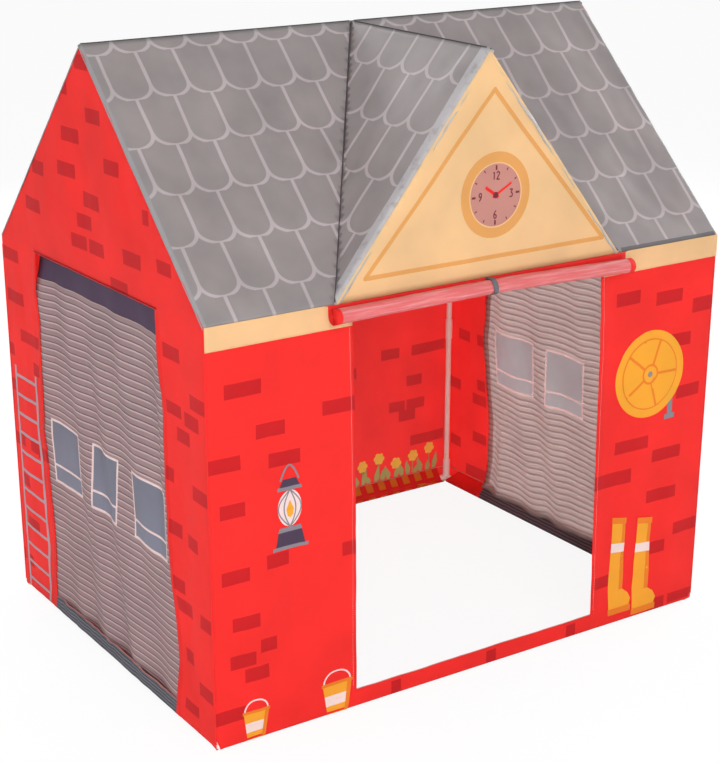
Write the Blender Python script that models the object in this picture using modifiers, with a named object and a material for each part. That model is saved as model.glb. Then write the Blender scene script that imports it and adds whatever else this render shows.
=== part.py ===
"""Fire station play tent: a tube frame with plug-in connectors and a cloth cover.

Metres, +Z up. The long front faces -Y, the gables face -X and +X. Everything hangs
on one root empty in the tent's middle plane, so heights start at the floor.
"""

import math

import bmesh
import bpy
from mathutils import Matrix, Vector
from mathutils.geometry import intersect_point_line

# Driving sizes of the tent
TENT_LENGTH = 1.050
TENT_DEPTH = 0.770
EAVE_HEIGHT = 0.720
RIDGE_HEIGHT = 1.100
DORMER_DROP = 0.013
DORMER_OVERLAP = 0.033

# Openings and the bands round them
DOORWAY_WIDTH = 0.520
DOORWAY_HEADER = 0.025
SIDE_DOOR_JAMB = 0.151
SIDE_DOOR_HEADER = 0.008
SILL_HEIGHT = 0.036
FASCIA_HEIGHT = 0.038
EDGE_WAVE = 0.005
EDGE_WAVES = 2
EDGE_POINTS = 10
CORNER_ROUND = 0.012
CORNER_STEPS = 3
CORNER_SLIT_WIDTH = 0.007
CORNER_SLIT_HEIGHT = 0.030

# Cloth
CLOTH = 0.0012
GAP = 0.0003
MERGE = 0.00001
SMOOTH_ANGLE = math.radians(40)

# Frame tubes and their plastic connectors
POLE_RADIUS = 0.006
POLE_WALL = 0.0012
SOCKET_WALL = 0.002
SOCKET_FLOOR = 0.020
ARM_LENGTH = 0.045
ARM_INSET = 0.0003
COUPLER_LENGTH = 0.044
COUPLER_WALL = 0.0013
ROUND_SIDES = 12
HUB_SIDES = 16
HUB_RINGS = 12
ARM_ROLL = math.radians(3.5)
CUT_OVERRUN = 0.002
OPPOSITE_COSINE = -0.999

# Side door curtains
CURTAIN_OVERLAP = 0.014
CURTAIN_LIFT = 0.001
CURTAIN_STANDOFF = 0.002
CURTAIN_FOLDS = 4
CURTAIN_COLUMNS = 40
CURTAIN_ROWS = 7
CASING_STEPS = 9
CASING_TURNS = 0.8
FOLD_DEPTH = 0.005
HEM_DIP = 0.006

# Front door, rolled up and tied
ROLL_OVERLAP = 0.046
ROLL_CLOTH = 0.0005
ROLL_PITCH = 0.001
ROLL_CORE_RADIUS = 0.003
ROLL_TURNS = 12
ROLL_STEPS = 14
ROLL_RISE = 0.003
ROLL_DROOP = 0.006
STRAP_WIDTH = 0.009
STRAP_THICKNESS = 0.0008
STRAP_PLACE = 0.005
STRAP_STEPS = 14

# Sizes that follow from those above
DORMER_WIDTH = DOORWAY_WIDTH + 2 * DORMER_OVERLAP
DORMER_HEIGHT = RIDGE_HEIGHT - DORMER_DROP
SIDE_DOOR_WIDTH = TENT_DEPTH - 2 * SIDE_DOOR_JAMB
CURTAIN_WIDTH = SIDE_DOOR_WIDTH + 2 * CURTAIN_OVERLAP
ROLL_LENGTH = DOORWAY_WIDTH + 2 * ROLL_OVERLAP
BORE_RADIUS = POLE_RADIUS + GAP
CONNECTOR_RADIUS = BORE_RADIUS + SOCKET_WALL
SLEEVE_BORE = CONNECTOR_RADIUS + GAP
SLEEVE_RADIUS = SLEEVE_BORE + CLOTH
SLEEVE_INSET = 2 * SLEEVE_RADIUS
ROOF_HALF_DEPTH = TENT_DEPTH / 2 + GAP + CLOTH
ROOF_SLOPE = math.atan2(RIDGE_HEIGHT - EAVE_HEIGHT, ROOF_HALF_DEPTH)
ROOF_COVER = CLOTH + GAP + CONNECTOR_RADIUS
RAIL_X = TENT_LENGTH / 2 - CLOTH - SLEEVE_BORE
RAIL_Y = TENT_DEPTH / 2 - CLOTH - SLEEVE_BORE
RAIL_Z = SLEEVE_RADIUS
ROLL_RADIUS = ROLL_CORE_RADIUS + ROLL_TURNS * ROLL_PITCH
ROLL_SHEET_Y = -ROOF_HALF_DEPTH - GAP - ROLL_CLOTH / 2
STRAP_RADIUS = ROLL_RADIUS + ROLL_CLOTH / 2 + GAP + STRAP_THICKNESS / 2
ROLL_FRONT_Y = ROLL_SHEET_Y - ROLL_RADIUS - STRAP_RADIUS - STRAP_THICKNESS / 2
MIDDLE_Y = -(ROOF_HALF_DEPTH + ROLL_FRONT_Y) / 2

COLOURS = {
    "red_cloth": ((0.93, 0.05, 0.04), 0.75),
    "cream_cloth": ((0.92, 0.56, 0.30), 0.75),
    "roof_cloth": ((0.32, 0.29, 0.28), 0.6),
    "door_cloth": ((0.36, 0.27, 0.26), 0.75),
    "lining_cloth": ((0.73, 0.19, 0.20), 0.5),
    "strap_cloth": ((0.25, 0.24, 0.24), 0.8),
    "pole_plastic": ((0.86, 0.80, 0.72), 0.4),
    "connector_plastic": ((0.80, 0.74, 0.66), 0.35),
}

UP = Vector((0, 0, 1))


def material(name):
    """A Principled material in the colour and roughness of its entry in COLOURS."""
    found = bpy.data.materials.get(name)
    if found:
        return found
    colour, roughness = COLOURS[name]
    made = bpy.data.materials.new(name)
    made.use_nodes = True
    shader = made.node_tree.nodes["Principled BSDF"]
    shader.inputs["Base Color"].default_value = (*colour, 1)
    shader.inputs["Roughness"].default_value = roughness
    shader.inputs["Metallic"].default_value = 0
    made.diffuse_color = (*colour, 1)
    return made


def add_object(name, data, collection, matrix=None):
    made = bpy.data.objects.new(name, data)
    collection.objects.link(made)
    if matrix:
        made.matrix_world = matrix
    return made


def axes(origin, x_axis, y_axis):
    """The matrix that puts local X and Y along two square directions."""
    z_axis = x_axis.cross(y_axis)
    turn = Matrix((x_axis, y_axis, z_axis)).transposed().to_4x4()
    return Matrix.Translation(origin) @ turn


def finish_mesh(target):
    """Replaces the object's data by its evaluated mesh, with one layer of points."""
    depsgraph = bpy.context.evaluated_depsgraph_get()
    mesh = bpy.data.meshes.new_from_object(target.evaluated_get(depsgraph))
    work = bmesh.new()
    work.from_mesh(mesh)
    bmesh.ops.remove_doubles(work, verts=work.verts, dist=MERGE)
    bmesh.ops.recalc_face_normals(work, faces=work.faces)
    work.to_mesh(mesh)
    work.free()
    return mesh


def boolean(target, tool, operation):
    """Joins the tool to the target or cuts it out, and removes the tool."""
    change = target.modifiers.new(operation.lower(), "BOOLEAN")
    change.operation = operation
    change.object = tool
    mesh = finish_mesh(target)
    target.modifiers.clear()
    target.data = mesh
    bpy.data.objects.remove(tool)


def dress(part, cloth, smooth=False):
    """Gives a finished part its material and, on round parts, smooth shading."""
    part.data.materials.clear()
    part.data.materials.append(material(cloth))
    if smooth:
        part.data.shade_smooth()
        part.data.set_sharp_from_angle(angle=SMOOTH_ANGLE)
    return part


# Profiles and outlines


def turned(name, profile, matrix, collection):
    """A closed profile of (radius, height) points, turned round local Z."""
    mesh = bpy.data.meshes.new(name)
    points = [(radius, 0, height) for radius, height in profile]
    count = len(points)
    mesh.from_pydata(points, [(i, (i + 1) % count) for i in range(count)], [])
    part = add_object(name, mesh, collection, matrix)
    screw = part.modifiers.new("turn", "SCREW")
    screw.axis = "Z"
    screw.steps = ROUND_SIDES
    screw.render_steps = ROUND_SIDES
    screw.use_merge_vertices = True
    screw.merge_threshold = MERGE
    screw.use_normal_calculate = True
    part.data = finish_mesh(part)
    part.modifiers.clear()
    return part


def flat_sheet(name, outlines, thickness, matrix, collection):
    """A plate with the given outline and holes, centred on its own XY plane."""
    curve = bpy.data.curves.new(name, "CURVE")
    curve.dimensions = "2D"
    curve.fill_mode = "BOTH"
    curve.extrude = thickness / 2
    for outline in outlines:
        spline = curve.splines.new("POLY")
        spline.points.add(len(outline) - 1)
        for point, (x, y) in zip(spline.points, outline):
            point.co = (x, y, 0, 1)
        spline.use_cyclic_u = True
    guide = add_object(name + "_outline", curve, collection, matrix)
    mesh = finish_mesh(guide)
    bpy.data.objects.remove(guide)
    return add_object(name, mesh, collection, matrix)


def folded_sheet(name, rows, thickness, matrix, collection):
    """Rows of points joined into one open surface, then given its thickness."""
    mesh = bpy.data.meshes.new(name)
    work = bmesh.new()
    grid = [[work.verts.new(point) for point in row] for row in rows]
    for upper, lower in zip(grid, grid[1:]):
        for i in range(len(upper) - 1):
            work.faces.new((upper[i], lower[i], lower[i + 1], upper[i + 1]))
    bmesh.ops.recalc_face_normals(work, faces=work.faces)
    work.to_mesh(mesh)
    work.free()
    part = add_object(name, mesh, collection, matrix)
    solid = part.modifiers.new("thickness", "SOLIDIFY")
    solid.thickness = thickness
    solid.offset = 0
    solid.use_even_offset = True
    part.data = finish_mesh(part)
    part.modifiers.clear()
    return part


def wavy_edge(start, end, bulge):
    """Points of a free cloth edge that waves a little to one side and back."""
    start, end = Vector(start), Vector(end)
    side = (end - start).orthogonal().normalized()
    points = []
    for i in range(EDGE_POINTS + 1):
        share = i / EDGE_POINTS
        wave = math.sin(math.pi * share) * math.cos(2 * math.pi * EDGE_WAVES * share)
        points.append(start.lerp(end, share) + side * bulge * wave)
    return points


def arc(centre, radius, start, end, steps):
    """Points on an arc, from one angle to the other, in radians."""
    turns = [start + (end - start) * i / steps for i in range(steps + 1)]
    return [
        (centre[0] + radius * math.cos(turn), centre[1] + radius * math.sin(turn))
        for turn in turns
    ]


def tangent_turn(point, centre, radius, side):
    """The angle at which the line from a point touches a circle, on one side."""
    away = Vector(point) - Vector(centre)
    return math.atan2(away.y, away.x) + side * math.acos(radius / away.length)


# Roof planes


def roof_height(y):
    """Height of the main roof's outer face over a line along the tent."""
    return RIDGE_HEIGHT - abs(y) * math.tan(ROOF_SLOPE)


DORMER_FOOT = Vector((DORMER_WIDTH / 2, -ROOF_HALF_DEPTH, EAVE_HEIGHT))
DORMER_PEAK = Vector((0, -ROOF_HALF_DEPTH, DORMER_HEIGHT))
RIDGE_MIDDLE = Vector((0, 0, RIDGE_HEIGHT))
DORMER_NORMAL = (DORMER_FOOT - DORMER_PEAK).cross(RIDGE_MIDDLE - DORMER_PEAK)
DORMER_NORMAL.normalize()


def dormer_x(y, z, cover):
    """Half width of the dormer at a place that lies under its cloth by the cover."""
    under = DORMER_NORMAL.dot(DORMER_PEAK) - cover
    return (under - DORMER_NORMAL.y * y - DORMER_NORMAL.z * z) / DORMER_NORMAL.x


def dormer_z(y, cover):
    """Height in the dormer's middle plane that lies under its cloth by the cover."""
    under = DORMER_NORMAL.dot(DORMER_PEAK) - cover
    return (under - DORMER_NORMAL.y * y) / DORMER_NORMAL.z


EAVE_RAIL_Z = roof_height(RAIL_Y) - ROOF_COVER / math.cos(ROOF_SLOPE)
RIDGE_RAIL_Z = min(
    RIDGE_HEIGHT - ROOF_COVER / math.cos(ROOF_SLOPE), dormer_z(0, ROOF_COVER)
)
DORMER_RAIL_Z = dormer_z(-RAIL_Y, ROOF_COVER)
TEE_X = dormer_x(-RAIL_Y, EAVE_RAIL_Z, ROOF_COVER)
WALL_TOP = roof_height(TENT_DEPTH / 2) - CLOTH / math.cos(ROOF_SLOPE) - GAP
FASCIA_TOP = EAVE_HEIGHT - CLOTH / math.cos(ROOF_SLOPE) - GAP


# Frame


def frame_nodes():
    """The points where the frame's centre lines meet, by name."""
    nodes = {
        "ridge_left": (-RAIL_X, 0, RIDGE_RAIL_Z),
        "ridge_right": (RAIL_X, 0, RIDGE_RAIL_Z),
        "ridge_middle": (0, 0, RIDGE_RAIL_Z),
        "dormer_peak": (0, -RAIL_Y, DORMER_RAIL_Z),
        "dormer_left": (-TEE_X, -RAIL_Y, EAVE_RAIL_Z),
        "dormer_right": (TEE_X, -RAIL_Y, EAVE_RAIL_Z),
    }
    for depth, y in (("front", -RAIL_Y), ("back", RAIL_Y)):
        for side, x in (("left", -RAIL_X), ("right", RAIL_X)):
            nodes[f"foot_{depth}_{side}"] = (x, y, RAIL_Z)
            nodes[f"eave_{depth}_{side}"] = (x, y, EAVE_RAIL_Z)
    return {name: Vector(place) for name, place in nodes.items()}


def frame_members():
    """Each straight run of tube: its two nodes and the names of its pieces."""
    members = [
        ("eave_front_left", "dormer_left", ["eave_rail_front_left"]),
        ("dormer_left", "dormer_right", ["eave_rail_front_middle"]),
        ("dormer_right", "eave_front_right", ["eave_rail_front_right"]),
        ("dormer_left", "dormer_peak", ["dormer_rafter_left"]),
        ("dormer_right", "dormer_peak", ["dormer_rafter_right"]),
        ("dormer_peak", "ridge_middle", ["dormer_ridge_rail"]),
        ("ridge_left", "ridge_middle", ["ridge_rail_left"]),
        ("ridge_middle", "ridge_right", ["ridge_rail_right"]),
        (
            "eave_back_left",
            "eave_back_right",
            ["eave_rail_back_left", "eave_rail_back_right"],
        ),
    ]
    for depth in ("front", "back"):
        names = [f"floor_rail_{depth}_left", f"floor_rail_{depth}_right"]
        members.append((f"foot_{depth}_left", f"foot_{depth}_right", names))
        for side in ("left", "right"):
            corner = f"{depth}_{side}"
            names = [f"upright_{corner}_lower", f"upright_{corner}_upper"]
            members.append((f"foot_{corner}", f"eave_{corner}", names))
            members.append((f"eave_{corner}", f"ridge_{side}", [f"rafter_{corner}"]))
    for side in ("left", "right"):
        for level, rail in (("foot", "floor_rail"), ("eave", "eave_rail")):
            ends = (f"{level}_front_{side}", f"{level}_back_{side}")
            members.append((*ends, [f"{rail}_{side}"]))
    return members


def tube_profile(length):
    inner = POLE_RADIUS - POLE_WALL
    return [(POLE_RADIUS, length), (POLE_RADIUS, 0), (inner, 0), (inner, length)]


def coupled_profile(length):
    """A tube that carries the coupler sleeve for the next one on its far end."""
    sleeve = BORE_RADIUS + COUPLER_WALL
    inner = POLE_RADIUS - POLE_WALL
    low = length - COUPLER_LENGTH / 2
    high = length + COUPLER_LENGTH / 2
    return [
        (sleeve, high),
        (sleeve, low),
        (POLE_RADIUS, low),
        (POLE_RADIUS, 0),
        (inner, 0),
        (inner, length),
        (BORE_RADIUS, length),
        (BORE_RADIUS, high),
    ]


def make_tubes(nodes, collection):
    for start, end, names in frame_members():
        run = nodes[end] - nodes[start]
        direction = run.normalized()
        turn = direction.to_track_quat("Z", "Y").to_matrix().to_4x4()
        margin = SOCKET_FLOOR + GAP
        first = nodes[start] + direction * margin
        length = run.length - 2 * margin
        if len(names) == 1:
            pieces = [(names[0], first, tube_profile(length))]
        else:
            half = (length - GAP) / 2
            second = first + direction * (half + GAP)
            pieces = [
                (names[0], first, coupled_profile(half)),
                (names[1], second, tube_profile(half)),
            ]
        for name, place, profile in pieces:
            matrix = Matrix.Translation(place) @ turn
            dress(turned(name, profile, matrix, collection), "pole_plastic", True)


def stub(name, direction, roll, radius, start, end, collection):
    """A short cylinder along a direction, between two distances from the origin."""
    mesh = bpy.data.meshes.new(name)
    work = bmesh.new()
    bmesh.ops.create_cone(
        work,
        cap_ends=True,
        segments=ROUND_SIDES,
        radius1=radius,
        radius2=radius,
        depth=end - start,
    )
    work.to_mesh(mesh)
    work.free()
    turn = direction.to_track_quat("Z", "Y").to_matrix().to_4x4()
    turn = turn @ Matrix.Rotation(roll, 4, "Z")
    middle = direction * (start + end) / 2
    return add_object(name, mesh, collection, Matrix.Translation(middle) @ turn)


def arm_runs(directions):
    """Each arm's direction and start; two arms in one line are a single run."""
    runs = []
    for direction in directions:
        opposite = [run for run in runs if run[0].dot(direction) < OPPOSITE_COSINE]
        if opposite:
            opposite[0][1] = -ARM_LENGTH
        else:
            runs.append([direction, 0])
    return runs


def make_connector(name, centre, directions, collection, cutters):
    """A round hub with a bored socket arm towards each tube.

    It is made at the origin and then placed. The arms are slimmer than the hub, so
    that they end inside it, and each is rolled a little further about its own line
    than the last, so that no two share a face or an edge.
    """
    mesh = bpy.data.meshes.new(name)
    work = bmesh.new()
    bmesh.ops.create_uvsphere(
        work,
        u_segments=HUB_SIDES,
        v_segments=HUB_RINGS,
        radius=CONNECTOR_RADIUS,
    )
    work.to_mesh(mesh)
    work.free()
    hub = add_object(name, mesh, collection)
    for i, (direction, start) in enumerate(arm_runs(directions)):
        sizes = (i * ARM_ROLL, CONNECTOR_RADIUS - ARM_INSET, start, ARM_LENGTH)
        boolean(hub, stub(f"{name}_arm_{i}", direction, *sizes, cutters), "UNION")
    for i, direction in enumerate(directions):
        sizes = (i * ARM_ROLL, BORE_RADIUS, SOCKET_FLOOR, ARM_LENGTH + CUT_OVERRUN)
        boolean(hub, stub(f"{name}_bore_{i}", direction, *sizes, cutters), "DIFFERENCE")
    hub.matrix_world = Matrix.Translation(centre)
    return dress(hub, "connector_plastic", True)


def make_connectors(nodes, collection, cutters):
    arms = {name: [] for name in nodes}
    for start, end, _ in frame_members():
        direction = (nodes[end] - nodes[start]).normalized()
        arms[start].append(direction)
        arms[end].append(-direction)
    for name, centre in nodes.items():
        make_connector(f"connector_{name}", centre, arms[name], collection, cutters)


# Walls with their hem sleeves


def hem_section():
    """Outline and bore of the sleeve that holds a floor rail at a wall's hem.

    Across is the distance inside the wall's inner face, and up is the height.
    """
    centre = (SLEEVE_BORE, RAIL_Z)
    turn = tangent_turn((0, SILL_HEIGHT), centre, SLEEVE_RADIUS, -1)
    steps = ROUND_SIDES // 2
    outer = [(-CLOTH / 2, 0)] + arc(centre, SLEEVE_RADIUS, -math.pi / 2, turn, steps)
    outer += [(0, SILL_HEIGHT), (-CLOTH / 2, SILL_HEIGHT - CLOTH)]
    inner = [(0, CLOTH)] + arc(centre, SLEEVE_BORE, -math.pi / 2, turn, steps)
    slide = (SLEEVE_BORE + SLEEVE_BORE * math.cos(turn)) / math.sin(turn)
    top = RAIL_Z + SLEEVE_BORE * math.sin(turn) + slide * math.cos(turn)
    inner.append((0, top))
    return [outer, inner]


def make_wall(name, inward, distance, rail_length, outlines, collection, cutters):
    """A wall plate whose inner face stands at a distance, joined to its sleeve."""
    along = UP.cross(inward)
    face = -inward * distance
    plate_frame = axes(face - inward * CLOTH / 2, along, UP)
    wall = flat_sheet(name, outlines, CLOTH, plate_frame, collection)
    sleeve_length = rail_length - 2 * SLEEVE_INSET
    sleeve_frame = axes(face, inward, UP)
    section = hem_section()
    sleeve = flat_sheet(name + "_sleeve", section, sleeve_length, sleeve_frame, cutters)
    boolean(wall, sleeve, "UNION")
    return dress(wall, "red_cloth")


def long_wall_outline():
    """Front and back wall, with rounded lower corners."""
    half = TENT_LENGTH / 2
    inner = half - CORNER_ROUND
    quarter = math.pi / 2
    right = arc((inner, CORNER_ROUND), CORNER_ROUND, -quarter, 0, CORNER_STEPS)
    left = arc((-inner, CORNER_ROUND), CORNER_ROUND, -math.pi, -quarter, CORNER_STEPS)
    return left + right + [(half, WALL_TOP), (-half, WALL_TOP)]


def opening_outline(width, top):
    """A door opening over the sill, whose free side edges wave a little."""
    half = width / 2
    left = wavy_edge((-half, top), (-half, SILL_HEIGHT), EDGE_WAVE)
    right = wavy_edge((half, SILL_HEIGHT), (half, top), EDGE_WAVE)
    return left + right


def gable_outline():
    """Side wall up to the roof slopes, with a slit over each lower corner."""
    half = TENT_DEPTH / 2 - CLOTH - GAP
    cover = (CLOTH + GAP) / math.cos(ROOF_SLOPE)
    slit_middle = SILL_HEIGHT + CORNER_SLIT_HEIGHT / 2
    slit_top = SILL_HEIGHT + CORNER_SLIT_HEIGHT
    side = [
        (half, 0),
        (half, SILL_HEIGHT),
        (half - CORNER_SLIT_WIDTH, slit_middle),
        (half, slit_top),
        (half, roof_height(half) - cover),
    ]
    peak = [(0, RIDGE_HEIGHT - cover)]
    return side + peak + [(-x, z) for x, z in reversed(side)]


def make_walls(collection, cutters):
    front_hole = opening_outline(DOORWAY_WIDTH, WALL_TOP - DOORWAY_HEADER)
    side_hole = opening_outline(SIDE_DOOR_WIDTH, EAVE_HEIGHT - SIDE_DOOR_HEADER)
    front = [long_wall_outline(), front_hole]
    back = [long_wall_outline()]
    gable = [gable_outline(), side_hole]
    depth = TENT_DEPTH / 2 - CLOTH
    length = TENT_LENGTH / 2 - CLOTH
    walls = (
        ("front_wall", Vector((0, 1, 0)), depth, RAIL_X, front),
        ("back_wall", Vector((0, -1, 0)), depth, RAIL_X, back),
        ("left_wall", Vector((1, 0, 0)), length, RAIL_Y, gable),
        ("right_wall", Vector((-1, 0, 0)), length, RAIL_Y, gable),
    )
    for name, inward, distance, rail, outlines in walls:
        make_wall(name, inward, distance, 2 * rail, outlines, collection, cutters)


# Roof, fascia and pediment


def make_roof_panel(name, plane_point, normal, cuts, collection):
    """A slab under a sloping plane, trimmed by upright planes (point, outward)."""
    mesh = bpy.data.meshes.new(name)
    work = bmesh.new()
    bmesh.ops.create_cube(work, size=1)
    reach = 2 * (TENT_LENGTH + TENT_DEPTH + RIDGE_HEIGHT)
    bmesh.ops.scale(work, vec=(reach, reach, CLOTH), verts=work.verts)
    turn = normal.to_track_quat("Z", "Y").to_matrix().to_4x4()
    lower = Matrix.Translation(plane_point - normal * CLOTH / 2)
    bmesh.ops.transform(work, matrix=lower @ turn, verts=work.verts)
    for point, outward in cuts:
        geometry = work.verts[:] + work.edges[:] + work.faces[:]
        cut = bmesh.ops.bisect_plane(
            work, geom=geometry, plane_co=point, plane_no=outward, clear_outer=True
        )
        edges = [item for item in cut["geom_cut"] if isinstance(item, bmesh.types.BMEdge)]
        bmesh.ops.contextual_create(work, geom=edges)
    bmesh.ops.recalc_face_normals(work, faces=work.faces)
    work.to_mesh(mesh)
    work.free()
    return dress(add_object(name, mesh, collection), "roof_cloth")


def make_roof(collection):
    """Front slope in two panels beside the dormer, the dormer's two, and the back."""
    front_normal = Vector((0, -math.sin(ROOF_SLOPE), math.cos(ROOF_SLOPE)))
    back_normal = Vector((0, math.sin(ROOF_SLOPE), math.cos(ROOF_SLOPE)))
    seam = GAP / 2
    ridge_cut = (Vector((0, -seam, 0)), Vector((0, 1, 0)))
    front_cut = (Vector((0, -ROOF_HALF_DEPTH, 0)), Vector((0, -1, 0)))
    for side, sign in (("left", -1), ("right", 1)):
        foot = Vector((sign * DORMER_FOOT.x, DORMER_FOOT.y, 0))
        outward = Vector((sign, 0, 0))
        valley = UP.cross(foot).normalized()
        if valley.dot(outward) < 0:
            valley.negate()
        end_cut = (outward * TENT_LENGTH / 2, outward)
        main_cuts = (end_cut, front_cut, ridge_cut, (valley * seam, -valley))
        panel = f"roof_front_{side}"
        make_roof_panel(panel, RIDGE_MIDDLE, front_normal, main_cuts, collection)
        normal = Vector((sign * DORMER_NORMAL.x, DORMER_NORMAL.y, DORMER_NORMAL.z))
        dormer_cuts = (front_cut, (outward * seam, -outward), (-valley * seam, valley))
        panel = f"dormer_roof_{side}"
        make_roof_panel(panel, RIDGE_MIDDLE, normal, dormer_cuts, collection)
    left_end = (Vector((-TENT_LENGTH / 2, 0, 0)), Vector((-1, 0, 0)))
    right_end = (Vector((TENT_LENGTH / 2, 0, 0)), Vector((1, 0, 0)))
    eave_cut = (Vector((0, ROOF_HALF_DEPTH, 0)), Vector((0, 1, 0)))
    back_cuts = (left_end, right_end, eave_cut, (Vector((0, seam, 0)), Vector((0, -1, 0))))
    make_roof_panel("roof_back", RIDGE_MIDDLE, back_normal, back_cuts, collection)


def make_front_trim(collection):
    """The fascia on both sides of the doorway and the dormer's pediment."""
    right, outward = Vector((1, 0, 0)), Vector((0, -1, 0))
    frame = axes(outward * (ROOF_HALF_DEPTH - CLOTH / 2), right, UP)
    bottom = FASCIA_TOP - FASCIA_HEIGHT
    for side, sign in (("left", -1), ("right", 1)):
        ends = sorted((sign * DOORWAY_WIDTH / 2, sign * TENT_LENGTH / 2))
        outline = [
            (ends[0], bottom),
            (ends[1], bottom),
            (ends[1], FASCIA_TOP),
            (ends[0], FASCIA_TOP),
        ]
        fascia = flat_sheet(f"fascia_{side}", [outline], CLOTH, frame, collection)
        dress(fascia, "cream_cloth")
    base = FASCIA_TOP + GAP
    cover = CLOTH + GAP
    half = dormer_x(-ROOF_HALF_DEPTH, base, cover)
    peak = dormer_z(-ROOF_HALF_DEPTH, cover)
    outline = [(-half, base), (half, base), (0, peak)]
    pediment = flat_sheet("pediment", [outline], CLOTH, frame, collection)
    dress(pediment, "cream_cloth")


# Side door curtains


def curtain_rows():
    """A pole casing round the eave rail, then the cloth with its main folds.

    Local Y runs along the rail, X is inward and the rail's centre line is the origin.
    """
    casing = POLE_RADIUS + GAP + CLOTH / 2
    hang = CURTAIN_STANDOFF + CLOTH / 2 + FOLD_DEPTH - SLEEVE_BORE
    drop = EAVE_RAIL_Z - SILL_HEIGHT - CURTAIN_LIFT
    lean = math.atan2(hang - casing, drop)
    wrap = 2 * math.pi * CASING_TURNS
    section = arc((0, 0), casing, wrap + lean, lean, CASING_STEPS)
    path = [(x, z, 0) for x, z in section]
    start_x, start_z = section[-1]
    for i in range(1, CURTAIN_ROWS + 1):
        share = i / CURTAIN_ROWS
        x = start_x + (hang - start_x) * share
        path.append((x, start_z + (-drop - start_z) * share, share))
    rows = []
    for x, z, down in path:
        row = []
        for i in range(CURTAIN_COLUMNS + 1):
            share = i / CURTAIN_COLUMNS
            fold = math.cos(2 * math.pi * CURTAIN_FOLDS * share)
            dip = HEM_DIP * (1 + fold) / 2
            y = (share - 1 / 2) * CURTAIN_WIDTH
            row.append((x + FOLD_DEPTH * down * fold, y, z - dip * down))
        rows.append(row)
    return rows


def make_curtains(collection):
    for side, inward in (("left", Vector((1, 0, 0))), ("right", Vector((-1, 0, 0)))):
        frame = axes(Vector((-inward.x * RAIL_X, 0, EAVE_RAIL_Z)), inward, UP.cross(inward))
        name = f"{side}_curtain"
        curtain = folded_sheet(name, curtain_rows(), CLOTH, frame, collection)
        dress(curtain, "door_cloth", True)


# Front door roll and its tie


def roll_path():
    """The door cloth's section: down from its seam, then wound outward and in.

    Across is Y and up is Z, both from the seam, which is the roll's hinge line.
    """
    centre = Vector((-ROLL_RADIUS, -ROLL_RADIUS - ROLL_CLOTH / 2 + ROLL_RISE))
    points = [Vector((0, 0))]
    for i in range(ROLL_TURNS * ROLL_STEPS + 1):
        turn = 2 * math.pi * i / ROLL_STEPS
        radius = ROLL_RADIUS - ROLL_PITCH * i / ROLL_STEPS
        points.append(centre + radius * Vector((math.cos(turn), -math.sin(turn))))
    return points, centre


def least_gap(points):
    """The narrowest space between two neighbouring turns of the roll."""
    spaces = []
    for i in range(1, len(points) - ROLL_STEPS):
        for j in (i, i + 1):
            near = points[i + ROLL_STEPS].to_3d()
            ends = points[j - 1].to_3d(), points[j].to_3d()
            foot, _ = intersect_point_line(near, *ends)
            spaces.append((near - foot).length - ROLL_CLOTH)
    return min(spaces)


def along_x(section, centre_x, width):
    """A section of (y, z) points, run out to both ends of a width along X."""
    ends = (centre_x - width / 2, centre_x + width / 2)
    return [[(x, point[0], point[1]) for x in ends] for point in section]


def roll_rows(path):
    """The roll's section at its tie and at both ends, which droop away from the tie."""
    reach = ROLL_LENGTH / 2
    columns = ((-reach, ROLL_DROOP), (STRAP_PLACE, 0), (reach, ROLL_DROOP))
    seam_row = [(x, path[0].x, path[0].y) for x, _ in columns]
    return [seam_row] + [
        [(x, point.x, point.y - droop) for x, droop in columns] for point in path[1:]
    ]


def make_front_door(collection):
    seam = Matrix.Translation((0, ROLL_SHEET_Y, FASCIA_TOP))
    path, centre = roll_path()
    print(f"least gap in the door roll: {least_gap(path) * 1000:.2f} mm")
    roll = folded_sheet("door_roll", roll_rows(path), ROLL_CLOTH, seam, collection)
    dress(roll, "lining_cloth", True)
    side = (ROLL_CLOTH + STRAP_THICKNESS) / 2 + GAP
    top = -STRAP_THICKNESS / 2
    start = tangent_turn((-side, top), centre, STRAP_RADIUS, 1)
    loop = arc(centre, STRAP_RADIUS, start, 2 * math.pi, STRAP_STEPS)
    section = [(-side, top)] + loop + [(side, top)]
    rows = along_x(section, STRAP_PLACE, STRAP_WIDTH)
    strap = folded_sheet("tie_strap", rows, STRAP_THICKNESS, seam, collection)
    dress(strap, "strap_cloth", True)
    return roll, strap


def main():
    for item in list(bpy.data.objects):
        bpy.data.objects.remove(item)
    tent = bpy.data.collections.new("fire_station_play_tent")
    cutters = bpy.data.collections.new("cutters")
    for made in (tent, cutters):
        bpy.context.scene.collection.children.link(made)
    nodes = frame_nodes()
    make_tubes(nodes, tent)
    make_connectors(nodes, tent, cutters)
    make_walls(tent, cutters)
    make_roof(tent)
    make_front_trim(tent)
    make_curtains(tent)
    roll, strap = make_front_door(tent)
    bpy.context.view_layer.update()
    root = add_object("tent_middle", None, tent)
    for part in list(tent.objects):
        if part not in (root, strap):
            part.parent = root
    strap.matrix_world = Matrix()
    strap.parent = roll
    root.location.y = MIDDLE_Y


main()
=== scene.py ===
"""Looks of a fire station play tent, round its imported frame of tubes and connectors.

Laid out as an add-on and run as a script. Metres, +Z up, the long front faces -Y. Each
cloth panel is made flat, as it was cut and printed, and is then put up: across and up
are metres on the flat cloth, and a panel's own function says where such a point hangs.
"""

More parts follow.
